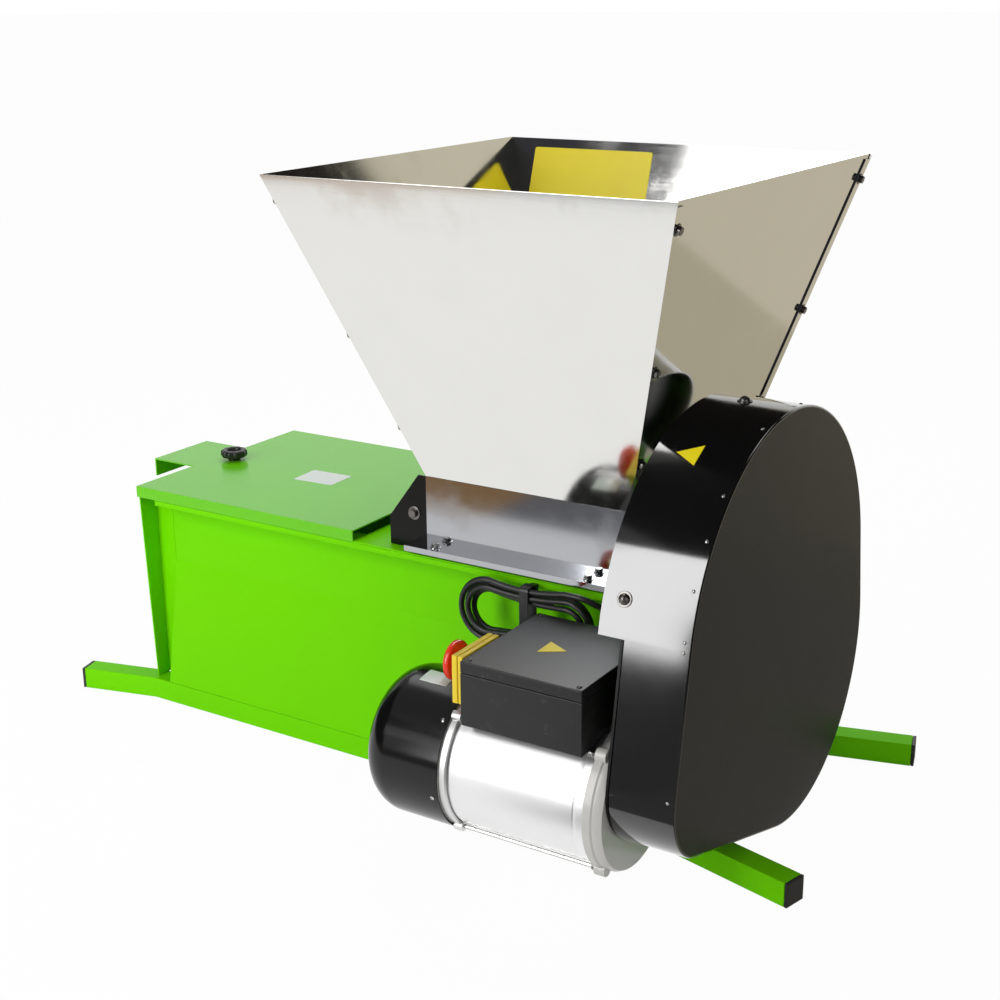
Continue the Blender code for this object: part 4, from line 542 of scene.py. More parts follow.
class Shape:
    """A bmesh being worked into one piece."""

    def __init__(self) -> None:
        """Starts empty."""
        self.mesh = bmesh.new()

    def rod(
        self, radius: float, length: float, place: Matrix, sides: int, tip: float | None = None
    ) -> Shape:
        """Adds a rod or cone along a frame's Z axis.

        Args:
            radius: its radius at the frame's origin.
            length: how far it runs along +Z.
            place: the frame.
            sides: flats round it.
            tip: its radius at the far end, if it tapers.

        Returns:
            This shape.
        """
        made = bmesh.ops.create_cone(
            self.mesh, cap_ends=True, segments=sides, depth=length, radius1=radius,
            radius2=radius if tip is None else tip,
        )["verts"]
        bmesh.ops.transform(self.mesh, matrix=place @ shifted(0, 0, length / 2), verts=made)
        return self

    def turned(self, profile: Profile, place: Matrix, steps: int, ring: bool = False) -> Shape:
        """Adds a profile of (radius, station) pairs turned about a frame's Z axis.

        Args:
            profile: the pairs in order.
            place: the frame.
            steps: flats round a full turn.
            ring: whether the profile closes on itself.

        Returns:
            This shape.
        """
        verts = [self.mesh.verts.new((radius, 0, station)) for radius, station in profile]
        edges = [self.mesh.edges.new(pair) for pair in zip(verts, verts[1:])]
        if ring:
            edges.append(self.mesh.edges.new((verts[-1], verts[0])))
        before = {vert for vert in self.mesh.verts if vert not in verts}
        bmesh.ops.spin(
            self.mesh, geom=verts + edges, cent=(0, 0, 0), axis=UP, angle=math.tau, steps=steps,
            use_merge=True,
        )
        made = [vert for vert in self.mesh.verts if vert not in before]
        bmesh.ops.transform(self.mesh, matrix=place, verts=made)
        bmesh.ops.remove_doubles(self.mesh, verts=made, dist=WELD)
        return self

    def loop(self, points: Iterable[Vector]) -> list[bmesh.types.BMEdge]:
        """Adds a closed line of edges."""
        verts = [self.mesh.verts.new(point) for point in points]
        return [self.mesh.edges.new(pair) for pair in zip(verts, verts[1:] + verts[:1])]

    def plate(self, outline: Profile, depth: float, place: Matrix) -> Shape:
        """Adds a flat outline that is given a thickness along +Z.

        Args:
            outline: a closed line of (x, y) pairs in the frame.
            depth: the thickness.
            place: the frame.

        Returns:
            This shape.
        """
        edges = self.loop((x, y, 0) for x, y in outline)
        faces = bmesh.ops.contextual_create(self.mesh, geom=edges)["faces"]
        grown = bmesh.ops.extrude_face_region(self.mesh, geom=faces, use_keep_orig=True)["geom"]
        bmesh.ops.translate(self.mesh, vec=(0, 0, depth), verts=verts_in(grown))
        bmesh.ops.transform(self.mesh, matrix=place, verts=self.mesh.verts)
        return self

    def node(self, name: str) -> Shape:
        """Adds a CAD node's mesh, merged and with its flat faces made whole.

        Args:
            name: the node's name.

        Returns:
            This shape.
        """
        self.mesh.from_mesh(frame["nodes"][name].data)
        bmesh.ops.remove_doubles(self.mesh, verts=self.mesh.verts, dist=WELD)
        bmesh.ops.dissolve_limit(
            self.mesh, angle_limit=math.radians(FLAT_DEGREES), verts=self.mesh.verts,
            edges=self.mesh.edges,
        )
        return self

    def rounded(self, width: float, segments: int = 2) -> Shape:
        """Bevels every sharp edge and clears the slivers that this leaves.

        Args:
            width: of the bevel.
            segments: facets across it.

        Returns:
            This shape.
        """
        sharp = [
            edge
            for edge in self.mesh.edges
            if edge.is_manifold and edge.calc_face_angle(0.0) > math.radians(BEVEL_DEGREES)
        ]
        bmesh.ops.bevel(
            self.mesh, geom=sharp, offset=width, offset_type="OFFSET", segments=segments,
            profile=0.5, affect="EDGES", clamp_overlap=True, material=-1,
        )
        bmesh.ops.remove_doubles(self.mesh, verts=self.mesh.verts, dist=WELD)
        bmesh.ops.dissolve_degenerate(self.mesh, edges=self.mesh.edges, dist=WELD)
        return self

    def moved(self, change: Callable[[Vector], Vector]) -> Shape:
        """Moves every vertex by a function of its place.

        Args:
            change: gives a vertex's new place.

        Returns:
            This shape.
        """
        for vert in self.mesh.verts:
            vert.co = change(vert.co)
        return self

    def data(self, name: str) -> bpy.types.Mesh:
        """Ends the shape and returns its mesh.

        Args:
            name: the mesh's name.

        Returns:
            The mesh.
        """
        made = bpy.data.meshes.new(name)
        self.mesh.to_mesh(made)
        self.mesh.free()
        return made

    def take(self, other: Shape) -> Shape:
        """Takes over another shape's mesh.

        Args:
            other: the shape that ends in this one.

        Returns:
            This shape.
        """
        data = other.data("taken")
        self.mesh.from_mesh(data)
        bpy.data.meshes.remove(data)
        return self

    def piece(
        self,
        name: str,
        finish: Finish,
        slot: str,
        body: str = "machine",
        replaces: Sequence[str] = (),
        degrees: float = 35.0,
        outward: bool = True,
    ) -> Piece:
        """Turns the shape into a finished piece.

        Args:
            name: the piece's name.
            finish: what covers it.
            slot: the record's material slot; not used.
            body: the body that it rides on.
            replaces: the nodes that it stands for.
            degrees: edges sharper than this stay sharp.
            outward: whether its faces are turned to point outwards.

        Returns:
            The piece.
        """
        if outward:
            bmesh.ops.recalc_face_normals(self.mesh, faces=self.mesh.faces)
        data = self.data(name)
        data.materials.append(material_of(finish))
        data.shade_smooth()
        data.set_sharp_from_angle(angle=math.radians(degrees))
        item = linked(name, data)
        item.modifiers.new("even_normals", "WEIGHTED_NORMAL").keep_sharp = True
        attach(item, body)
        if replaces:
            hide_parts(*replaces)
        return item

    def stand_in(
        self, node: str, finish: Finish, degrees: float = 35.0, outward: bool = True
    ) -> Piece:
        """Turns the shape into the piece that stands for one CAD node.

        Args:
            node: the node's name.
            finish: what covers the piece.
            degrees: edges sharper than this stay sharp.
            outward: whether its faces are turned to point outwards.

        Returns:
            The piece.
        """
        body = frame["nodes"][node]["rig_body"]
        return self.piece(f"{node}_dressed", finish, SLOTS[node], body, [node], degrees, outward)


def copied(
    finish: Finish, *nodes: str, round_to: float = 0.0, segments: int = 2, degrees: float = 35.0
) -> Pieces:
    """Merged and edge-rounded copies that stand for CAD nodes.

    Args:
        finish: what covers the copies.
        nodes: the nodes' names.
        round_to: the width of the bevel on their sharp edges, or 0 for none.
        segments: facets across that bevel.
        degrees: edges sharper than this stay sharp.

    Returns:
        The copies.
    """
    made = []
    for node in nodes:
        shape = Shape().node(node)
        if round_to:
            shape.rounded(round_to, segments)
        made.append(shape.stand_in(node, finish, degrees, outward=False))
    return made


def painted(node: str, finish: Finish) -> Piece:
    """A CAD node kept as it is, with a finish.

    Args:
        node: the node's name.
        finish: what covers it.

    Returns:
        The node.
    """
    item = frame["nodes"][node]
    item.data.materials.clear()
    item.data.materials.append(material_of(finish))
    return item


def label_outline(width: float, height: float) -> list[Pair]:
    """A rectangle about the origin with round corners.

    Args:
        width: along X.
        height: along Y.

    Returns:
        The closed line.
    """
    steps = 5
    points = []
    for index, (sx, sy) in enumerate(((1, 1), (-1, 1), (-1, -1), (1, -1))):
        for step in range(steps + 1):
            x, y = polar(LABEL_CORNER, math.pi / 2 * (index + step / steps))
            centre_x, centre_y = sx * (width / 2 - LABEL_CORNER), sy * (height / 2 - LABEL_CORNER)
            points.append((centre_x + x, centre_y + y))
    return points


def patch(name: str, radius: float, place: Matrix) -> Piece:
    """A bare yellow triangle of film."""
    outline = [polar(radius, math.radians(degrees)) for degrees in (90, 210, 330)]
    return Shape().plate(outline, FILM, place).piece(name, YELLOW_PLATE, "yellow_plastic")


def band_outline(circles: Sequence[Triple], degrees: float) -> list[Pair]:
    """The line of a band stretched round circles.

    Args:
        circles: (u, v, radius) of each, anticlockwise.
        degrees: the step along each arc.

    Returns:
        The closed line's points.
    """
    leans = []
    for index, (u, v, radius) in enumerate(circles):
        next_u, next_v, next_radius = circles[(index + 1) % len(circles)]
        run = (next_u - u, next_v - v)
        lean = math.asin((next_radius - radius) / math.hypot(*run))
        leans.append(math.atan2(run[1], run[0]) - math.pi / 2 - lean)
    points = []
    for index, (u, v, radius) in enumerate(circles):
        start, end = leans[index - 1], leans[index]
        while end < start:
            end += math.tau
        count = max(1, math.ceil((end - start) / math.radians(degrees)))
        for step in range(count + 1):
            x, y = polar(radius, start + (end - start) * step / count)
            points.append((u + x, v + y))
    return points


# --- Fasteners ---


class Head(Enum):
    """Kinds of fastener heads; the turned ones hold profiles as shares of radius and height."""

    HEX = ()
    PAN = ((0, 0), (1, 0), (1, 0.45), (0.9, 0.8), (0.65, 1), (0.42, 1), (0.36, 0.5), (0, 0.45))
    DOME = ((0, 0), (1, 0), *(polar(1, math.radians(a)) for a in (20, 40, 60, 78)), (0, 1))


@dataclass(frozen=True)
class Fastener:
    """One kind of screw, bolt or rivet, seen from outside."""

    head: Head
    radius: float
    height: float
    washer: float = 0.0
    hex_round: float = 0.14
    washer_rise: float = 0.2

    def add(self, shape: Shape, place: Matrix) -> None:
        """Adds one head to a shape, standing on the frame's XY plane.

        Args:
            shape: the shape that takes it.
            place: the frame, whose Z axis is the fastener's.
        """
        wide, top = self.washer, 0.0
        if wide:
            top = self.height * self.washer_rise
            rim = [(0, 0), (wide, 0), (wide, top * 0.7), (wide * 0.93, top), (0, top)]
            shape.turned(rim, place, steps=24)
        stand = place @ shifted(0, 0, top)
        if self.head is Head.HEX:
            flats = Shape().rod(self.radius, self.height, stand, sides=6)
            shape.take(flats.rounded(self.height * self.hex_round, 1))
        else:
            profile = [(self.radius * out, self.height * up) for out, up in self.head.value]
            shape.turned(profile, stand, steps=20)


SEAM_BOLT = Fastener(Head.HEX, 0.0052, 0.0042, 0.0068)
FLANGE_BOLT = Fastener(Head.HEX, 0.0050, 0.0042, 0.0066)
CHEEK_BOLT = Fastener(Head.HEX, 0.0060, 0.0050, 0.0085)
GUARD_BOLT = Fastener(Head.DOME, 0.0062, 0.0050, 0.0085)
RIM_RIVET = Fastener(Head.DOME, 0.0021, 0.0012)
BOX_SCREW = Fastener(Head.PAN, 0.0030, 0.0016)
MOTOR_BOLT = Fastener(Head.HEX, 0.0048, 0.0045)
COWL_SCREW = Fastener(Head.PAN, 0.0026, 0.0014)


def fasteners(
    name: str, kind: Fastener, places: Iterable[Matrix], finish: Finish, slot: str = "steel"
) -> Piece:
    """One piece made of equal fasteners.

    Args:
        name: the piece's name.
        kind: the fastener.
        places: a frame for each.
        finish: what covers them.
        slot: the record's material slot.

    Returns:
        The piece.
    """
    shape = Shape()
    for place in places:
        kind.add(shape, place)
    return shape.piece(name, finish, slot, degrees=30.0)


# --- Sub-assemblies ---


@dataclass
class Housing:
    """The green body, its deck and its two square feet."""

    sheet_round: float = 0.0004
    tube_round: float = 0.0022
    cap_round: float = 0.0009
    bend_degrees: float = 4.0

    def build(self) -> Pieces:
        """Dresses the sheets, feet and caps; the side panels keep their shallow bend crisp."""
        sheets = ("outlet_end_plate", "drive_end_plate", "deck_plate")
        made = copied(LIME, *sheets, round_to=self.sheet_round)
        panels = [f"side_panel_{side}" for side in SIDES]
        made += copied(LIME, *panels, round_to=self.sheet_round, degrees=self.bend_degrees)
        for side in SIDES:
            made += copied(LIME, f"support_tube_{side}", round_to=self.tube_round, segments=3)
            caps = [f"tube_cap_{side}_{end}" for end in ENDS]
            made += copied(BLACK_PLASTIC, *caps, round_to=self.cap_round)
        return made


@dataclass
class Lid:
    """The lift-off cover with its plain label, its knob and its stud."""

    sheet_round: float = 0.0008
    stud_round: float = 0.0003
    label_place: Pair = (-0.1405, -0.00675)
    label_size: Pair = (0.064, 0.049)
    label_depth: float = 0.00025
    label_degrees: float = 2.7702
    knob_profile: Profile = (
        (0.0046, 0), (0.0088, 0), (0.009, 0.004), (0.0155, 0.0042), (0.0180, 0.0052),
        (0.019, 0.0072), (0.019, 0.0118), (0.0182, 0.0137), (0.0165, 0.0147), (0.0142, 0.015),
        (0.0112, 0.0148), (0.0100, 0.0136), (0.0096, 0.0112), (0.0046, 0.0110),
    )
    lobes: int = 10
    lobe_depth: float = 0.0014
    lobe_foot: float = 0.0125
    lobe_rise: float = 0.004

    def build(self) -> Pieces:
        """Dresses the lid, its stud, its label and its knob."""
        # The lid takes the darker copy of the body's green: painted shade.
        made = copied(LIME_LID_SHADED, "lid", round_to=self.sheet_round)
        made += copied(ZINC, "lid_stud", round_to=self.stud_round)
        return made + [self.label(), self.knob()]

    def label(self) -> Piece:
        """A bare pale label on the lid."""
        place = aim(at(*self.label_place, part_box("lid")[1].z), UP, self.label_degrees)
        shape = Shape().plate(label_outline(*self.label_size), self.label_depth, place)
        return shape.piece("lid_label", PALE_LABEL, "green", "lid")

    def knob(self) -> Piece:
        """A lobed hand knob with a dished top."""
        low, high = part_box("lid_knob")
        centre = (low + high) / 2
        centre.z = low.z

        def lobed(point: Vector) -> Vector:
            """Pulls the rim in between the lobes."""
            reach = point.xy.length
            share = max(0.0, min(1.0, (reach - self.lobe_foot) / self.lobe_rise))
            wave = (1 - math.cos(self.lobes * math.atan2(point.y, point.x))) / 2
            factor = 1 - self.lobe_depth * share * wave / max(reach, WELD)
            return Vector((point.x * factor, point.y * factor, point.z)) + centre

        shape = Shape().turned(self.knob_profile, Matrix.Identity(4), steps=160, ring=True)
        return shape.moved(lobed).stand_in("lid_knob", BLACK_PLASTIC, 50)


@dataclass
class Hopper:
    """The flared hopper, its neck, its seam bolts and its bare yellow plate."""

    foot: float = 0.3999
    top: float = 0.7639
    neck_x: Pair = (0.138, 0.4176)
    mouth_x: Pair = (0.0, 0.525)
    neck_half: float = 0.1526
    mouth_half: float = 0.268
    sheet: float = 0.0015
    sheet_round: float = 0.00045
    neck_round: float = 0.0004
    bolt_shares: Triple = (0.92, 0.485, 0.17)
    bolt_inset: float = 0.0085
    bolt_turn: float = 15.0
    flange_top: float = 0.3156
    flange_x: Pair = (0.159, 0.372)
    flange_half: float = 0.1655
    flange_turn: float = 20.0
    plate_x: float = 0.1345
    plate_z: float = 0.7185
    plate_size: Pair = (0.181, 0.071)
    plate_depth: float = 0.0004
    plate_gap: float = 0.00005

    def build(self) -> Pieces:
        """Dresses the sheets and adds bolts and plate."""
        sheets = [f"hopper_{side}" for side in (*SIDES, *ENDS)]
        made = copied(HOPPER_SHEET, *sheets, round_to=self.sheet_round)
        # The neck takes the darker stainless: painted shade.
        made += copied(NECK_SHADED_SHEET, "hopper_neck", round_to=self.neck_round)
        return made + [self.seam_bolts(), self.flange_bolts(), self.plate()]

    def seam(self, end: int, side: int) -> tuple[Vector, Vector]:
        """The lower and upper end of one of the four seams.

        Args:
            end: 0 for the left end and 1 for the right.
            side: -1 for near and 1 for far.

        Returns:
            Both points.
        """
        return (
            at(self.neck_x[end], side * self.neck_half, self.foot),
            at(self.mouth_x[end], side * self.mouth_half, self.top),
        )

    def seam_bolts(self) -> Piece:
        """Bolts through the folded seams, standing on the end faces."""
        places = []
        for end, outward in ((0, -1), (1, 1)):
            for side in (-1, 1):
                low, high = self.seam(end, side)
                rise = high - low
                normal = Vector((rise.z, 0, -rise.x)).normalized() * outward
                for share in self.bolt_shares:
                    spot = low.lerp(high, share) + Vector((0, -side * self.bolt_inset, 0))
                    places.append(aim(spot, normal, self.bolt_turn * share))
        return fasteners("hopper_seam_bolts", SEAM_BOLT, places, DARK_ZINC)

    def flange_bolts(self) -> Piece:
        """Bolts through the neck's flange on both sides."""
        places = [
            aim(at(x, y, self.flange_top), UP, self.flange_turn)
            for y in (-self.flange_half, self.flange_half)
            for x in self.flange_x
        ]
        return fasteners("neck_flange_bolts", FLANGE_BOLT, places, ZINC)

    def plate(self) -> Piece:
        """A bare yellow plate high on the far sheet's inner face."""
        low, high = self.seam(0, 1)
        slope = Vector((0, high.y - low.y, high.z - low.z)).normalized()
        inward = Vector((0, -slope.z, slope.y))
        share = (self.plate_z - self.foot) / (self.top - self.foot)
        spot = at(self.plate_x, 0, self.plate_z)
        spot.y = low.y + (high.y - low.y) * share
        place = standing(spot + inward * (self.sheet + self.plate_gap), inward)
        shape = Shape().plate(label_outline(*self.plate_size), self.plate_depth, place)
        return shape.piece("hopper_plain_plate", YELLOW_PLATE, "yellow_plastic")


@dataclass
class Crusher:
    """The lobed rollers with their guides, brackets and bushes."""

    roller_round: float = 0.0005
    bush_round: float = 0.0004
    bracket_round: float = 0.0006
    cheek_x: Pair = (0.119, 0.437)
    cheek_z: float = 0.349
    bolt_turn: float = 10.0

    def build(self) -> Pieces:
        """Dresses the crushing parts."""
        rollers = [f"roller_{side}" for side in SIDES]
        made = copied(ROLLER, *rollers, round_to=self.roller_round, degrees=30)
        for side in SIDES:
            # The guides take the darker stainless: painted shade.
            made.append(painted(f"roller_guide_{side}", NECK_SHADED_SHEET))
            bushes = [f"roller_bush_{side}_{end}" for end in ENDS]
            made += copied(STEEL, *bushes, round_to=self.bush_round)
        brackets = [f"roller_bracket_{end}" for end in ENDS]
        made += copied(BRACKET_BLACK, *brackets, round_to=self.bracket_round)
        return made + [self.cheek_bolts()]

    def cheek_bolts(self) -> Piece:
        """Bolts on the brackets' triangular cheeks."""
        places = []
        for end, x in zip(ENDS, self.cheek_x):
            low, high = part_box(f"roller_bracket_{end}")
            for y, direction in ((low.y, -1), (high.y, 1)):
                spot = Vector((at(x, 0, 0).x, y, self.cheek_z))
                places.append(aim(spot, (0, direction, 0), self.bolt_turn))
        return fasteners("cheek_bolts", CHEEK_BOLT, places, DARK_ZINC)


@dataclass
class Destemmer:
    """The pegged beater, its bushes and its perforated trough."""

    edge_round: float = 0.0004

    def build(self) -> Pieces:
        """Dresses the destemming parts."""
        turned = ["beater", *(f"beater_bush_{end}" for end in ENDS)]
        made = copied(STEEL, *turned, round_to=self.edge_round)
        return made + copied(TROUGH_SHEET, "perforated_grate", degrees=30)


@dataclass
class Drive:
    """Gears, pulleys and belt inside the guard."""

    gear_round: float = 0.0003
    belt_round: float = 0.0008

    def build(self) -> Pieces:
        """Dresses the drive."""
        gears = ("beater_pinion", "roller_drive_gear", "roller_gear_near", "roller_gear_far")
        made = copied(STEEL, *gears, round_to=self.gear_round)
        made += copied(CASTING, "beater_pulley", "motor_pulley")
        return made + copied(BELT_RUBBER, "drive_belt", round_to=self.belt_round)


@dataclass
class Guard:
    """The deep cover over the drive, with its bolts, rivets and bare yellow patch."""

    front: float = 0.590
    sheet: float = 0.0015
    rim_back: float = 0.5155
    tab_back: float = 0.485
    tab_floor: float = 0.330
    edge_round: float = 0.0022
    turned_edge: float = 0.006
    circles: tuple[Triple, ...] = (
        (-0.111, 0.293, 0.239), (-0.301, 0.1695, 0.074), (-0.049, 0.2115, 0.190),
    )
    arc_degrees: float = 2.5
    rivet_x: float = 0.5815
    rivet_heights: tuple[float, ...] = (0.438, 0.392, 0.343, 0.290, 0.236)
    rivet_degrees: tuple[float, ...] = (130, 105, 80, 55, 30)
    rivet_sink: float = 0.0001
    face_inset: float = 0.0005
    face_rise: float = 1.15
    face_round: float = 0.0004
    bolt_places: tuple[Pair, Pair] = ((0.530, 88.0), (0.5095, 160.0))
    patch_place: Triple = (0.5275, 119.0, STICKER_GAP)
    patch_radius: float = 0.0175
    patch_turn: float = -30.0

    def build(self) -> Pieces:
        """Makes the cover and its fittings."""
        bolts = [self.on_rim(*place) for place in self.bolt_places]
        return [
            self.cover(),
            self.face(),
            painted("guard_back_plate", BRACKET_BLACK),
            self.rivets(),
            fasteners("guard_bolts", GUARD_BOLT, bolts, DARK_ZINC),
            self.patch(),
        ]

    def on_rim(self, x: float, degrees: float, lift: float = 0.0) -> Matrix:
        """A frame standing on the rim of the large circle at an angle from +Y.

        Args:
            x: the machine station.
            degrees: the angle from +Y.
            lift: how far it stands off the rim.

        Returns:
            The frame.
        """
        u, v, radius = self.circles[0]
        outward = Vector((0, *polar(1.0, math.radians(degrees))))
        return standing(at(x, u, v) + outward * (radius + lift), outward)

    def shrunk(self, inset: float) -> list[Pair]:
        """The cover's line, moved inwards."""
        circles = [(u, v, radius - inset) for u, v, radius in self.circles]
        return band_outline(circles, self.arc_degrees)

    def cover(self) -> Piece:
        """The rim with its long upper tab and a rounded turn into the front face."""
        shape = Shape()
        edge, sheet, front = self.edge_round, self.sheet, self.front
        fold = edge + self.turned_edge
        rings = (
            (0.0, self.rim_back), (0.0, front - edge), (edge * 0.3, front - edge * 0.3),
            (edge, front), (fold, front), (fold, front - sheet), (sheet + edge, front - sheet),
            (sheet, front - sheet - edge), (sheet, self.rim_back),
        )
        loops = [shape.loop(at(x, u, v) for u, v in self.shrunk(inset)) for inset, x in rings]
        for first, second in zip(loops, loops[1:] + loops[:1]):
            bmesh.ops.bridge_loops(shape.mesh, edges=first + second)
        rim = at(self.rim_back, 0, 0).x
        back = [
            face
            for face in shape.mesh.faces
            if all(abs(vert.co.x - rim) < WELD for vert in face.verts)
            and face.calc_center_median().z > self.tab_floor
        ]
        grown = bmesh.ops.extrude_face_region(shape.mesh, geom=back)["geom"]
        reach = self.tab_back - self.rim_back
        bmesh.ops.translate(shape.mesh, vec=(reach, 0, 0), verts=verts_in(grown))
        left = [face for face in back if face.is_valid]
        bmesh.ops.delete(shape.mesh, geom=left, context="FACES_ONLY")
        return shape.stand_in("guard_cover", GUARD_RIM, 40)

    def face(self) -> Piece:
        """The semi-gloss front sheet, lying just inside the rim's turned edge."""
        place = Matrix.Translation(at(self.front - self.sheet, 0, 0)) @ ALONG_X
        outline = self.shrunk(self.edge_round + self.face_inset)
        shape = Shape().plate(outline, self.sheet * self.face_rise, place)
        return shape.rounded(self.face_round).piece(
            "guard_front_sheet", GUARD_FACE, "black_sheet", replaces=["guard_cover"]
        )

    def rivets(self) -> Piece:
        """Small rivets along the rim, just behind the front face."""
        u, v, radius = self.circles[0]
        line = [point for point in self.shrunk(0) if point[0] < u]
        places = []
        for height in self.rivet_heights:
            y, z = min(line, key=lambda point: abs(point[1] - height))
            lift = math.hypot(y - u, z - v) - radius - self.rivet_sink
            places.append(self.on_rim(self.rivet_x, math.degrees(math.atan2(z - v, y - u)), lift))
        for degrees in self.rivet_degrees:
            places.append(self.on_rim(self.rivet_x, degrees, -self.rivet_sink))
        return fasteners("guard_rim_rivets", RIM_RIVET, places, ZINC)

    def patch(self) -> Piece:
        """A bare yellow triangle on the rim."""
        turn = Matrix.Rotation(math.radians(self.patch_turn), 4, "Z")
        return patch("guard_plain_patch", self.patch_radius, self.on_rim(*self.patch_place) @ turn)


@dataclass(frozen=True)
class Lug:
    """A round lug on a motor's shield, standing at a reach from the axis."""

    radius: float
    length: float
    reach: float
    soft: float
    sides: int


@dataclass
class Motor:
    """The side motor: fan cowl, stator, shields, tie rods and rotor."""

    y: float = -0.300
    z: float = 0.137
    cowl_left: float = 0.197
    cowl_right: float = 0.308
    cowl_radius: float = 0.087
    cowl_lip: float = 0.006
    fillet: float = 0.038
    fillet_steps: int = 14
    wall: float = 0.002
    fit: float = 0.0003
    hole_rings: tuple[tuple[float, int], ...] = ((0.014, 6), (0.025, 12), (0.036, 18))
    hole_radius: float = 0.0031
    hole_start: float = 0.008
    hole_depth: float = 0.02
    stator_radius: float = 0.080
    stator_bore: float = 0.0101
    bead: float = 0.0007
    edge: float = 0.0008
    shield_left: float = 0.488
    shield_bore: float = 0.0098
    shield_radius: float = 0.084
    shield_length: float = 0.022
    ring_radius: float = 0.0838
    ring_length: float = 0.009
    lug_degrees: tuple[float, ...] = (53.0, 127.0, 233.0, 307.0)
    front_lug: Lug = Lug(0.008, 0.0138, 0.083, 0.0012, 28)
    rear_lug: Lug = Lug(0.0062, 0.012, 0.0835, 0.001, 24)
    rod_radius: float = 0.0024
    screw_degrees: tuple[float, ...] = (14.0, 74.0, 134.0, 194.0, 254.0, 314.0)
    screw_back: float = 0.007
    screw_sink: float = 0.0002
    label_x: float = 0.262
    label_degrees: float = 98.0
    label_size: Pair = (0.024, 0.036)
    label_lift: float = 0.00015
    label_film: float = 0.0002

    def axis(self) -> Matrix:
        """The motor's axis as a frame whose Z station is the machine's X."""
        return Matrix.Translation(at(0, self.y, self.z)) @ ALONG_X

    def build(self) -> Pieces:
        """Makes the motor's pieces."""
        return [
            self.cowl(),
            self.stator(),
            self.front_shield(),
            *copied(SHIELD_PAINT, "motor_rear_shield", round_to=0.0006),
            self.rear_ring(),
            self.tie_rods(),
            self.lug_bolts(),
            self.cowl_screws(),
            *copied(STEEL, "motor_shaft", round_to=0.0004),
            *copied(BLACK_PLASTIC, "motor_fan", round_to=0.0003),
            self.label(),
        ]

    def cowl(self) -> Piece:
        """The drawn fan cowl with its grid of air holes."""
        left, right, radius = self.cowl_left, self.cowl_right, self.cowl_radius
        outer, inner = [(0.0, left)], [(0.0, left + self.wall)]
        for step in range(self.fillet_steps + 1):
            angle = math.pi / 2 * step / self.fillet_steps
            for line, bend in ((outer, self.fillet), (inner, self.fillet - self.wall)):
                back, out = polar(bend, angle)
                line.append((radius - self.fillet + out, left + self.fillet - back))
        outer += [(radius, right - self.cowl_lip), (radius, right)]
        inner += [(radius - self.wall, right)]
        shape = Shape().turned(inner + outer[::-1], self.axis(), steps=144)
        piece = shape.stand_in("motor_fan_cowl", COWL_PAINT, 40)
        self.pierce(piece)
        return piece

    def pierce(self, piece: Piece) -> None:
        """Cuts rings of air holes in the cowl's end.

        Args:
            piece: the cowl.
        """
        cutter = Shape()
        for radius, count in self.hole_rings:
            for index in range(count):
                spot = polar(radius, math.tau * index / count)
                place = self.axis() @ shifted(*spot, self.cowl_left - self.hole_start)
                cutter.rod(self.hole_radius, self.hole_depth, place, sides=12)
        tool = linked("cowl_holes", cutter.data("cowl_holes"))
        change = piece.modifiers.new("holes", "BOOLEAN")
        change.operation = "DIFFERENCE"
        change.object = tool
        change.solver = "EXACT"
        bpy.context.view_layer.update()
        graph = bpy.context.evaluated_depsgraph_get()
        holed = bpy.data.meshes.new_from_object(piece.evaluated_get(graph))
        piece.modifiers.remove(change)
        piece.data = holed
        bpy.data.objects.remove(tool, do_unlink=True)

    def stator(self) -> Piece:
        """The drawn stator frame, smooth but for two shallow beads."""
        left, right = self.cowl_right + self.fit, self.shield_left - self.fit
        bore, radius, edge = self.stator_bore, self.stator_radius, self.edge
        low = radius - self.bead
        profile = [(bore, left), (radius - edge, left), (radius, left + edge)]
        for x in (left + 0.010, right - 0.012):
            profile += [(radius, x - 0.0025), (low, x - 0.001), (low, x + 0.001), (radius, x + 0.0025)]
        profile += [(radius, right - edge), (radius - edge, right), (bore, right)]
        shape = Shape().turned(profile, self.axis(), steps=144, ring=True)
        return shape.stand_in("motor_frame", STATOR, 30)

    def with_lugs(self, profile: Profile, lug: Lug, station: float) -> Shape:
        """A turned ring with its round lugs.

        Args:
            profile: the ring's (radius, station) pairs.
            lug: what stands at each of the lugs' angles.
            station: where the lugs begin.

        Returns:
            The shape.
        """
        shape = Shape().turned(profile, self.axis(), steps=120, ring=True)
        for degrees in self.lug_degrees:
            place = self.beside(degrees, station, lug.reach)
            shape.take(Shape().rod(lug.radius, lug.length, place, lug.sides).rounded(lug.soft))
        return shape

    def front_shield(self) -> Piece:
        """The drive-end shield with its lugs."""
        left, radius = self.shield_left, self.shield_radius
        bore, right = self.shield_bore, left + self.shield_length
        profile = [
            (bore, left), (radius - 0.001, left), (radius, left + 0.001), (radius, left + 0.0095),
            (radius - 0.0015, left + 0.0115), (radius - 0.0015, right - 0.005),
            (radius - 0.004, right), (bore, right),
        ]
        shape = self.with_lugs(profile, self.front_lug, left + 0.0001)
        return shape.stand_in("motor_front_shield", SHIELD_PAINT)

    def rear_ring(self) -> Piece:
        """The pale rim of the rear shield between cowl and stator, with its lugs."""
        left, radius, edge = self.cowl_right + 0.0004, self.ring_radius, self.edge
        right, inner = left + self.ring_length, self.stator_radius + self.fit
        profile = [
            (inner, left), (radius - edge, left), (radius, left + edge),
            (radius, right - 0.0012), (radius - 0.0012, right), (inner, right),
        ]
        shape = self.with_lugs(profile, self.rear_lug, left)
        return shape.piece("motor_rear_ring", CASTING, "aluminium")

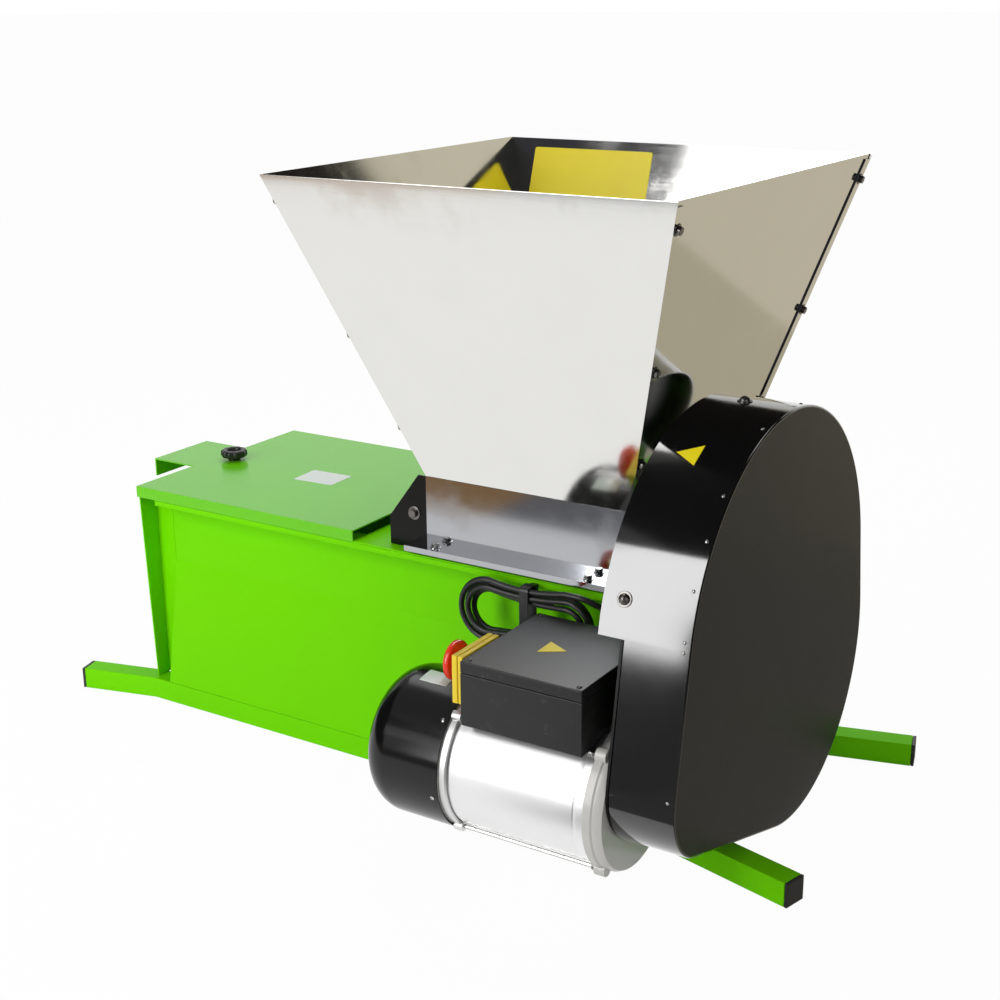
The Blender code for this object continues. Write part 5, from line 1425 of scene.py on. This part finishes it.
    def cowl_screws(self) -> Piece:
        """Small screws that hold the cowl to the rear shield."""
        station, reach = self.cowl_right - self.screw_back, self.cowl_radius - self.screw_sink
        places = []
        for degrees in self.screw_degrees:
            spot = self.beside(degrees, station, reach).translation
            places.append(aim(spot, spot - self.beside(degrees, station, 0.0).translation))
        return fasteners("motor_cowl_screws", COWL_SCREW, places, ZINC)

    def beside(self, degrees: float, station: float, reach: float) -> Matrix:
        """A frame beside the motor's axis, at an angle and a station along it."""
        return self.axis() @ shifted(*polar(reach, math.radians(degrees)), station)

    def tie_rods(self) -> Piece:
        """Rods that clamp both shields to the stator."""
        shape = Shape()
        start, end = self.cowl_right + 0.002, self.shield_left + 0.002
        for degrees in self.lug_degrees:
            place = self.beside(degrees, start, self.rear_lug.reach)
            shape.rod(self.rod_radius, end - start, place, sides=14)
        return shape.piece("motor_tie_rods", ZINC, "aluminium")

    def lug_bolts(self) -> Piece:
        """Bolt heads on the inner faces of the front shield's lugs."""
        turn = Matrix.Rotation(math.pi, 4, "X")
        station, reach = self.shield_left, self.front_lug.reach
        places = [self.beside(degrees, station, reach) @ turn for degrees in self.lug_degrees]
        return fasteners("motor_lug_bolts", MOTOR_BOLT, places, DARK_ZINC)

    def label(self) -> Piece:
        """A bare pale label bent round the cowl."""
        shape = Shape()
        bmesh.ops.create_grid(shape.mesh, x_segments=12, y_segments=2, size=0.5)
        radius, axis = self.cowl_radius + self.label_lift, self.axis()
        width, length = self.label_size

        def bent(point: Vector) -> Vector:
            """Wraps the flat grid round the motor's axis."""
            angle = math.radians(self.label_degrees) + point.x * width / radius
            return axis @ Vector((*polar(radius, angle), self.label_x + point.y * length))

        piece = shape.moved(bent).piece("motor_plain_label", PALE_LABEL, "black_sheet")
        skin = piece.modifiers.new("film", "SOLIDIFY")
        skin.thickness = self.label_film
        skin.offset = 0
        return piece


@dataclass
class Controls:
    """The terminal box and the yellow switch with its flap and mushroom."""

    screw_inset: float = 0.0075
    screw_sink: float = 0.0004
    patch_place: Pair = (0.397, -0.290)
    patch_radius: float = 0.0185
    patch_degrees: float = -28.0
    stem_radius: float = 0.009
    mushroom_rim: float = 0.005
    mushroom_dome: float = 0.006
    mushroom_edge: float = 0.0012
    knuckle_radius: float = 0.0021
    knuckle_length: float = 0.008
    knuckle_inset: float = 0.0022

    def build(self) -> Pieces:
        """Makes the electrical pieces."""
        return [
            *copied(BOX_PLASTIC, "terminal_box", round_to=0.0012, segments=3),
            *copied(BOX_PLASTIC, "terminal_box_lid"),
            self.screws(),
            self.patch(),
            *copied(YELLOW, "switch_housing", round_to=0.0014, segments=3),
            *copied(YELLOW, "switch_flap", round_to=0.0016, segments=3),
            *copied(GREEN_BUTTON, "start_button", round_to=0.0012, segments=3),
            *copied(RED, "stop_button", round_to=0.0012, segments=3),
            self.mushroom(),
            self.hinge(),
        ]

    def screws(self) -> Piece:
        """Screws at the lid's corners."""
        low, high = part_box("terminal_box_lid")
        inset = self.screw_inset
        places = [
            aim(Vector((x, y, high.z - self.screw_sink)), UP)
            for x in (low.x + inset, high.x - inset)
            for y in (low.y + inset, high.y - inset)
        ]
        return fasteners("terminal_box_screws", BOX_SCREW, places, BLACK_PLASTIC, "black_plastic")

    def patch(self) -> Piece:
        """A bare yellow triangle on the box's lid."""
        spot = at(*self.patch_place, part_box("terminal_box_lid")[1].z + STICKER_GAP)
        return patch("box_plain_patch", self.patch_radius, aim(spot, UP, self.patch_degrees))

    def mushroom(self) -> Piece:
        """The red stop mushroom with its collar."""
        low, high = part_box("stop_mushroom")
        centre = (low + high) / 2
        centre.x = high.x
        rim = high.x - low.x - self.mushroom_dome
        head = rim - self.mushroom_rim
        radius, stem, edge = (high.y - low.y) / 2, self.stem_radius, self.mushroom_edge
        profile = [
            (0, 0), (stem, 0), (stem, head - edge), (stem + 0.0025, head), (radius - edge, head),
            (radius, head + edge), (radius, rim),
        ]
        steps = 8
        for step in range(1, steps + 1):
            out, up = polar(1.0, math.pi / 2 * step / steps)
            reach = radius * out if step < steps else 0.0
            profile.append((reach, rim + self.mushroom_dome * up))
        shape = Shape().turned(profile, aim(centre, (-1, 0, 0)), steps=96)
        return shape.stand_in("stop_mushroom", RED, 45)

    def hinge(self) -> Piece:
        """Two small knuckles along the flap's upper edge."""
        low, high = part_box("switch_housing")
        inset, length = self.knuckle_inset, self.knuckle_length
        shape = Shape()
        for y in (low.y + length, high.y - 2 * length):
            place = aim(Vector((low.x + inset, y, high.z - inset)), (0, 1, 0))
            shape.rod(self.knuckle_radius, length, place, sides=16)
        return shape.piece("switch_hinge_knuckles", YELLOW, "yellow_plastic")


@dataclass
class PowerLead:
    """The mains lead: gland, free stretch, hank, strap and plug."""

    radius: float = 0.0035
    hank_left: float = 0.206
    run: float = 0.105
    inner: float = 0.0225
    step: float = 0.0092
    layer: float = 0.0090
    turns_in: int = 2
    per_turn: int = 24
    run_points: int = 4
    finer: int = 3
    waist: float = 0.14
    first_y: float = -0.1900
    height: float = 0.2600
    tail: float = 0.045
    gland_place: Triple = (0.4655, -0.2067, 0.2534)
    gland_length: float = 0.020
    gland_ribs: int = 5
    middle_shares: Pair = (0.553, 0.630)
    middle_y: float = 0.0159
    middle_degrees: float = 54.0
    handles: tuple[float, ...] = (0.0337, 0.0364, 0.0192, 0.0222)
    bend_points: int = 14
    pin_radius: float = 0.0024
    pin_side: float = 0.0095
    pin_length: float = 0.0180
    pin_start: float = 0.0598
    pin_tip: Pair = (0.0012, 0.0013)

    def build(self) -> Pieces:
        plug, (strap,) = self.plug(), copied(BLACK_PLASTIC, "lead_tie", round_to=0.0003)
        return [self.gland(), self.cord(), strap, plug]

    @property
    def outer(self) -> float:
        """Radius of the hank's widest fold."""
        return self.inner + self.turns_in * self.step

    @property
    def middle(self) -> float:
        """Machine station of the hank's middle."""
        return self.hank_left + self.radius + self.outer + self.run / 2

    def stadium(self, place: float, radius: float) -> Pair:
        """A point on a loop of two runs and two folds.

        Args:
            place: points walked from the top run's right end, of per_turn for the whole loop.
            radius: of the folds.

        Returns:
            The point's X from the middle and Z from the height.
        """
        half = self.per_turn / 2
        folds = half - self.run_points
        flip = 1
        if place > half:
            flip, place = -1, place - half
        if place <= self.run_points:
            return flip * self.run * (0.5 - place / self.run_points), flip * radius
        x, z = polar(radius, math.pi / 2 + math.pi * (place - self.run_points) / folds)
        return flip * (x - self.run / 2), flip * z

    def hank(self) -> list[Vector]:
        """The wound stretch, in the frame's coordinates."""
        per_layer = self.turns_in * self.per_turn
        last = 2 * per_layer - self.per_turn // 2 + self.run_points
        start = self.middle + self.run / 2 + 2 * self.radius
        points = [at(start, self.first_y, self.height + self.outer)]
        for count in range(last * self.finer + 1):
            index = count / self.finer
            inward = min(index, 2 * per_layer - index) / self.per_turn
            x, z = self.stadium(index % self.per_turn, self.outer - self.step * inward)
            pinch = max(0.0, math.cos(math.pi * x / self.run)) if abs(x) < self.run / 2 else 0.0
            z *= 1 - self.waist * pinch
            climb = min(1.0, max(0.0, (index - per_layer) / self.run_points))
            points.append(at(self.middle + x, self.first_y + self.layer * climb, self.height + z))
        end = points[-1].copy()
        return points + [end + Vector((self.tail * share, 0, 0)) for share in (0.25, 0.5, 0.75, 1.0)]

    def free_stretch(self, end: Vector) -> list[Vector]:
        """The stretch from the gland's tip to the hank.

        Args:
            end: the hank's first point.

        Returns:
            The points, without those of the hank.
        """
        start = at(*self.gland_place) + Vector((0, self.gland_length + 0.0003, 0))
        first = start + Vector((0, 2 * self.radius, 0))
        last = end + Vector((2 * self.radius, 0, 0))
        way = last - first
        shift = Vector((way.x * self.middle_shares[0], self.middle_y, way.z * self.middle_shares[1]))
        middle = first + shift
        heading = -Vector((*polar(1.0, math.radians(self.middle_degrees)), 0))
        out, into, on, home = self.handles
        points = [start]
        for bend in (
            (first, first + Vector((0, out, 0)), middle - heading * into, middle),
            (middle, middle + heading * on, last + Vector((home, 0, 0)), last),
        ):
            points += interpolate_bezier(*bend, self.bend_points)[:-1]
        return points + [last]

    def cord(self) -> Piece:
        """One tube for the whole lead.


        Returns:
            The tube.
        """
        hank = self.hank()
        route = self.free_stretch(hank[0]) + hank
        curve = bpy.data.curves.new("power_cord", "CURVE")
        curve.dimensions = "3D"
        curve.bevel_depth = self.radius
        curve.bevel_resolution = 5
        curve.use_fill_caps = True
        spline = curve.splines.new("POLY")
        spline.points.add(len(route) - 1)
        for point, place in zip(spline.points, route):
            point.co = (*place, 1.0)
        spline.use_smooth = True
        curve.materials.append(material_of(RUBBER))
        item = linked("power_cord", curve)
        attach(item, "machine")
        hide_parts("power_lead", "lead_hank")
        length = sum((b - a).length for a, b in zip(route, route[1:]))
        log.info("power cord: %.3f m", length)
        tuple(route[0])
        return item

    def gland(self) -> Piece:
        """The tapered strain relief with its ribs."""
        length = self.gland_length
        profile = [(0, 0), (0.0085, 0), (0.0085, 0.003), (0.0072, 0.0038)]
        for index in range(self.gland_ribs):
            share = index / self.gland_ribs
            wide, x = 0.0072 - 0.0021 * share, 0.0048 + (length - 0.0052) * share
            low = wide - 0.0012
            profile += [(wide, x), (wide, x + 0.0016), (low, x + 0.0020), (low, x + 0.0026)]
        profile += [(0.0048, length - 0.0004), (0.0044, length), (0, length)]
        place = aim(at(*self.gland_place), (0, 1, 0))
        return Shape().turned(profile, place, steps=40).stand_in("cable_gland", BLACK_PLASTIC)

    def plug(self) -> Piece:
        """The round two-pin plug with its ribbed boot."""
        low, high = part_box("lead_plug")
        centre = (low + high) / 2
        centre.x = low.x
        place = aim(centre, (1, 0, 0), 90)
        profile = [(0, 0), (0.0054, 0)]
        for index in range(4):
            wide, x = 0.0058 + 0.0007 * index, 0.0030 + index * 0.0045
            low_reach = wide - 0.0012
            profile += [(wide, x), (wide, x + 0.0024), (low_reach, x + 0.003), (low_reach, x + 0.004)]
        profile += [
            (0.0085, 0.0215), (0.0122, 0.0228), (0.0135, 0.026), (0.0162, 0.038), (0.0178, 0.041),
            (0.018, 0.043), (0.018, 0.0585), (0.0172, 0.060), (0, 0.060),
        ]
        shape = Shape().turned(profile, place, steps=72)
        for side in (-1, 1):
            pin = place @ shifted(0, side * self.pin_side, self.pin_start)
            end, (length, tip) = pin @ shifted(0, 0, self.pin_length), self.pin_tip
            shape.rod(self.pin_radius, self.pin_length, pin, sides=20)
            shape.rod(self.pin_radius, length, end, sides=20, tip=tip)
        return shape.stand_in("lead_plug", RUBBER, 40)


# --- Studio ---


@dataclass(frozen=True)
class Lamp:
    """A soft rectangular lamp aimed at the machine."""

    name: str
    place: Triple
    size: Pair
    power: float
    target: Triple = (0.05, 0.0, 0.32)

    def build(self) -> None:
        """Sets the lamp up."""
        data = bpy.data.lights.new(self.name, "AREA")
        data.shape = "RECTANGLE"
        data.size, data.size_y = self.size
        data.energy = self.power
        item = linked(self.name, data)
        item.location = self.place
        way = Vector(self.target) - Vector(self.place)
        item.rotation_euler = way.to_track_quat("-Z", "Y").to_euler()


@dataclass(frozen=True)
class PaintedReflection:
    """A glowing panel that only glossy rays see: a painted reflection of a flag or board, which lights
    and shades nothing.
    """

    name: str
    low: Triple
    high: Triple
    colour: Triple

    def build(self) -> None:
        """Sets the painted reflection up."""
        shape = Shape()
        low, high = Vector(self.low), Vector(self.high)
        fit = Matrix.Translation((low + high) / 2) @ Matrix.Diagonal((*(high - low), 1.0))
        bmesh.ops.create_cube(shape.mesh, size=1.0, matrix=fit)
        net = Net.material(self.name)
        net.show(net.glow(self.colour))
        item = linked(self.name, shape.data(self.name))
        item.data.materials.append(net.owner)
        item.visible_camera = item.visible_diffuse = item.visible_shadow = False
        item.visible_transmission = item.visible_volume_scatter = False


@dataclass
class Studio:
    """Floor, lamps, painted reflections, world and camera."""

    eye: Triple = (1.116, -1.6145, 0.9615)
    right: Triple = (0.8442, 0.5360, -0.0093)
    up: Triple = (-0.1552, 0.2610, 0.9528)
    lens: float = 57.78
    floor_reach: float = 60.0
    floor_drop: float = 0.0004
    floor_glow: float = 0.97
    world_level: float = 0.30
    lamps: tuple[Lamp, ...] = (
        Lamp("key", (-0.66, -2.30, 1.30), (0.62, 2.30), 42.0, (-0.66, 0.0, 1.30)),
        Lamp("upper_key", (-1.11, -2.30, 2.15), (0.28, 0.60), 3.6, (-1.11, 0.0, 2.15)),
        Lamp("crown", (-0.6, 1.0, 2.6), (2.0, 1.8), 26.0),
        Lamp("fill", (2.3, -1.7, 1.5), (1.2, 1.2), 6.0),
    )
    # Painted reflections: glowing dark, grey, white, brown and beige panels that only the metal's
    # reflections show.
    painted_reflections: tuple[PaintedReflection, ...] = (
        PaintedReflection("front_dark_reflection", (-6, -3.20, -0.1), (6, -3.19, 5.0), (0.030, 0.030, 0.035)),
        PaintedReflection("front_white_reflection", (-2.7, -3.189, 1.15), (-1.5, -3.18, 2.05), (1.0, 1.0, 1.0)),
        PaintedReflection("ceiling_dark_reflection", (-1.35, -3.20, 3.30), (6, 3.50, 3.31), (0.025, 0.025, 0.025)),
        PaintedReflection("ceiling_grey_reflection", (-6.0, -3.20, 3.30), (-1.36, 3.50, 3.31), (0.40, 0.40, 0.40)),
        PaintedReflection("left_dark_reflection", (-2.91, -3.20, 0.0), (-2.90, 0.60, 3.3), (0.040, 0.040, 0.040)),
        PaintedReflection("front_floor_dark_reflection", (-3, -3.20, 0.0005), (0.02, -1.02, 0.001), (0.17, 0.17, 0.18)),
        PaintedReflection("brown_floor_reflection", (-1.2, -1.40, 0.002), (-0.48, -1.015, 0.003), (0.34, 0.20, 0.09)),
        PaintedReflection("motor_floor_dark_reflection", (0.021, -3.20, 0.0005), (3, -0.75, 0.001), (0.22, 0.22, 0.22)),
        PaintedReflection("rim_floor_dark_reflection", (0.21, -0.749, 0.0005), (3, -0.47, 0.001), (0.22, 0.22, 0.22)),
        PaintedReflection("right_floor_reflection", (0.50, -0.469, 0.0005), (3.2, 1.00, 0.001), (0.30, 0.28, 0.24)),
        PaintedReflection("near_beige_reflection", (0.40, 1.001, 0.0005), (3.2, 1.60, 0.001), (0.44, 0.40, 0.30)),
        PaintedReflection("far_beige_reflection", (0.40, 1.601, 0.0005), (3.2, 3.50, 0.001), (0.56, 0.51, 0.40)),
        PaintedReflection("back_beige_reflection", (1.0, 3.51, 0.8), (2.22, 3.52, 3.3), (0.62, 0.58, 0.46)),
        PaintedReflection("back_right_dark_reflection", (2.221, 3.51, 0.0), (3.6, 3.52, 3.3), (0.012, 0.010, 0.010)),
        PaintedReflection("right_dark_reflection", (3.6, -1.0, 0.0), (3.61, 3.52, 3.3), (0.012, 0.010, 0.010)),
    )

    def build(self) -> None:
        """Sets the studio up."""
        self.floor()
        self.world()
        for item in (*self.lamps, *self.painted_reflections):
            item.build()
        self.camera()
        bpy.context.scene.view_settings.view_transform = "Standard"

    def shown(self, net: Net) -> Term:
        """1 for rays that see the white background: camera, glossy and transmission rays.

        Args:
            net: the net that takes the nodes.

        Returns:
            The share, 0 or 1.
        """
        path = net.node("ShaderNodeLightPath")
        names = ("Is Camera Ray", "Is Glossy Ray", "Is Transmission Ray")
        seen = [Term(net, path.outputs[name]) for name in names]
        return net.math("MINIMUM", seen[0] + seen[1] + seen[2], 1.0)

    def floor(self) -> None:
        """A wide white floor that keeps a soft shadow."""
        shape = Shape()
        bmesh.ops.create_grid(shape.mesh, x_segments=1, y_segments=1, size=self.floor_reach)
        item = linked("floor", shape.data("floor"))
        item.location.z = -self.floor_drop
        net = Net.material("floor_white")
        net.shade({"Base Color": (0.9, 0.9, 0.9), "Roughness": 0.9, "Specular IOR Level": 0.0})
        mixed = net.node("ShaderNodeMixShader", {"Fac": self.shown(net) * self.floor_glow})
        net.feed(mixed.inputs[1], net.tree.nodes["Principled BSDF"].outputs[0])
        net.feed(mixed.inputs[2], net.glow((1.0, 1.0, 1.0)))
        net.show(mixed.outputs[0])
        item.data.materials.append(net.owner)

    def world(self) -> None:
        """White where it is seen, and a plain level as light."""
        net = Net(bpy.data.worlds.new("studio"))
        bpy.context.scene.world = net.owner
        sky = net.tree.nodes["Background"]
        level = self.shown(net) * (1.0 - self.world_level) + self.world_level
        net.feed(sky.inputs["Color"], (1.0, 1.0, 1.0))
        net.feed(sky.inputs["Strength"], level)

    def camera(self) -> None:
        """The camera at the photograph's place."""
        data = bpy.data.cameras.new("camera")
        data.lens = self.lens
        data.sensor_width = 36.0
        right, up = Vector(self.right).normalized(), Vector(self.up)
        back = right.cross(up).normalized()
        turn = Matrix((right, back.cross(right), back)).transposed().to_4x4()
        item = linked("camera", data)
        item.matrix_world = Matrix.Translation(self.eye) @ turn
        bpy.context.scene.camera = item


def main() -> None:
    """Builds every sub-assembly, then the studio."""
    logging.basicConfig(level=logging.INFO, format="%(message)s")
    for part in (
        Housing(), Lid(), Hopper(), Crusher(), Destemmer(), Drive(), Guard(), Motor(), Controls(),
        PowerLead(),
    ):
        for piece in part.build():
            log.info("%s: %s on %s", type(part).__name__, piece.name, piece["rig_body"])
    Studio().build()


if __name__ == "__main__":
    main()
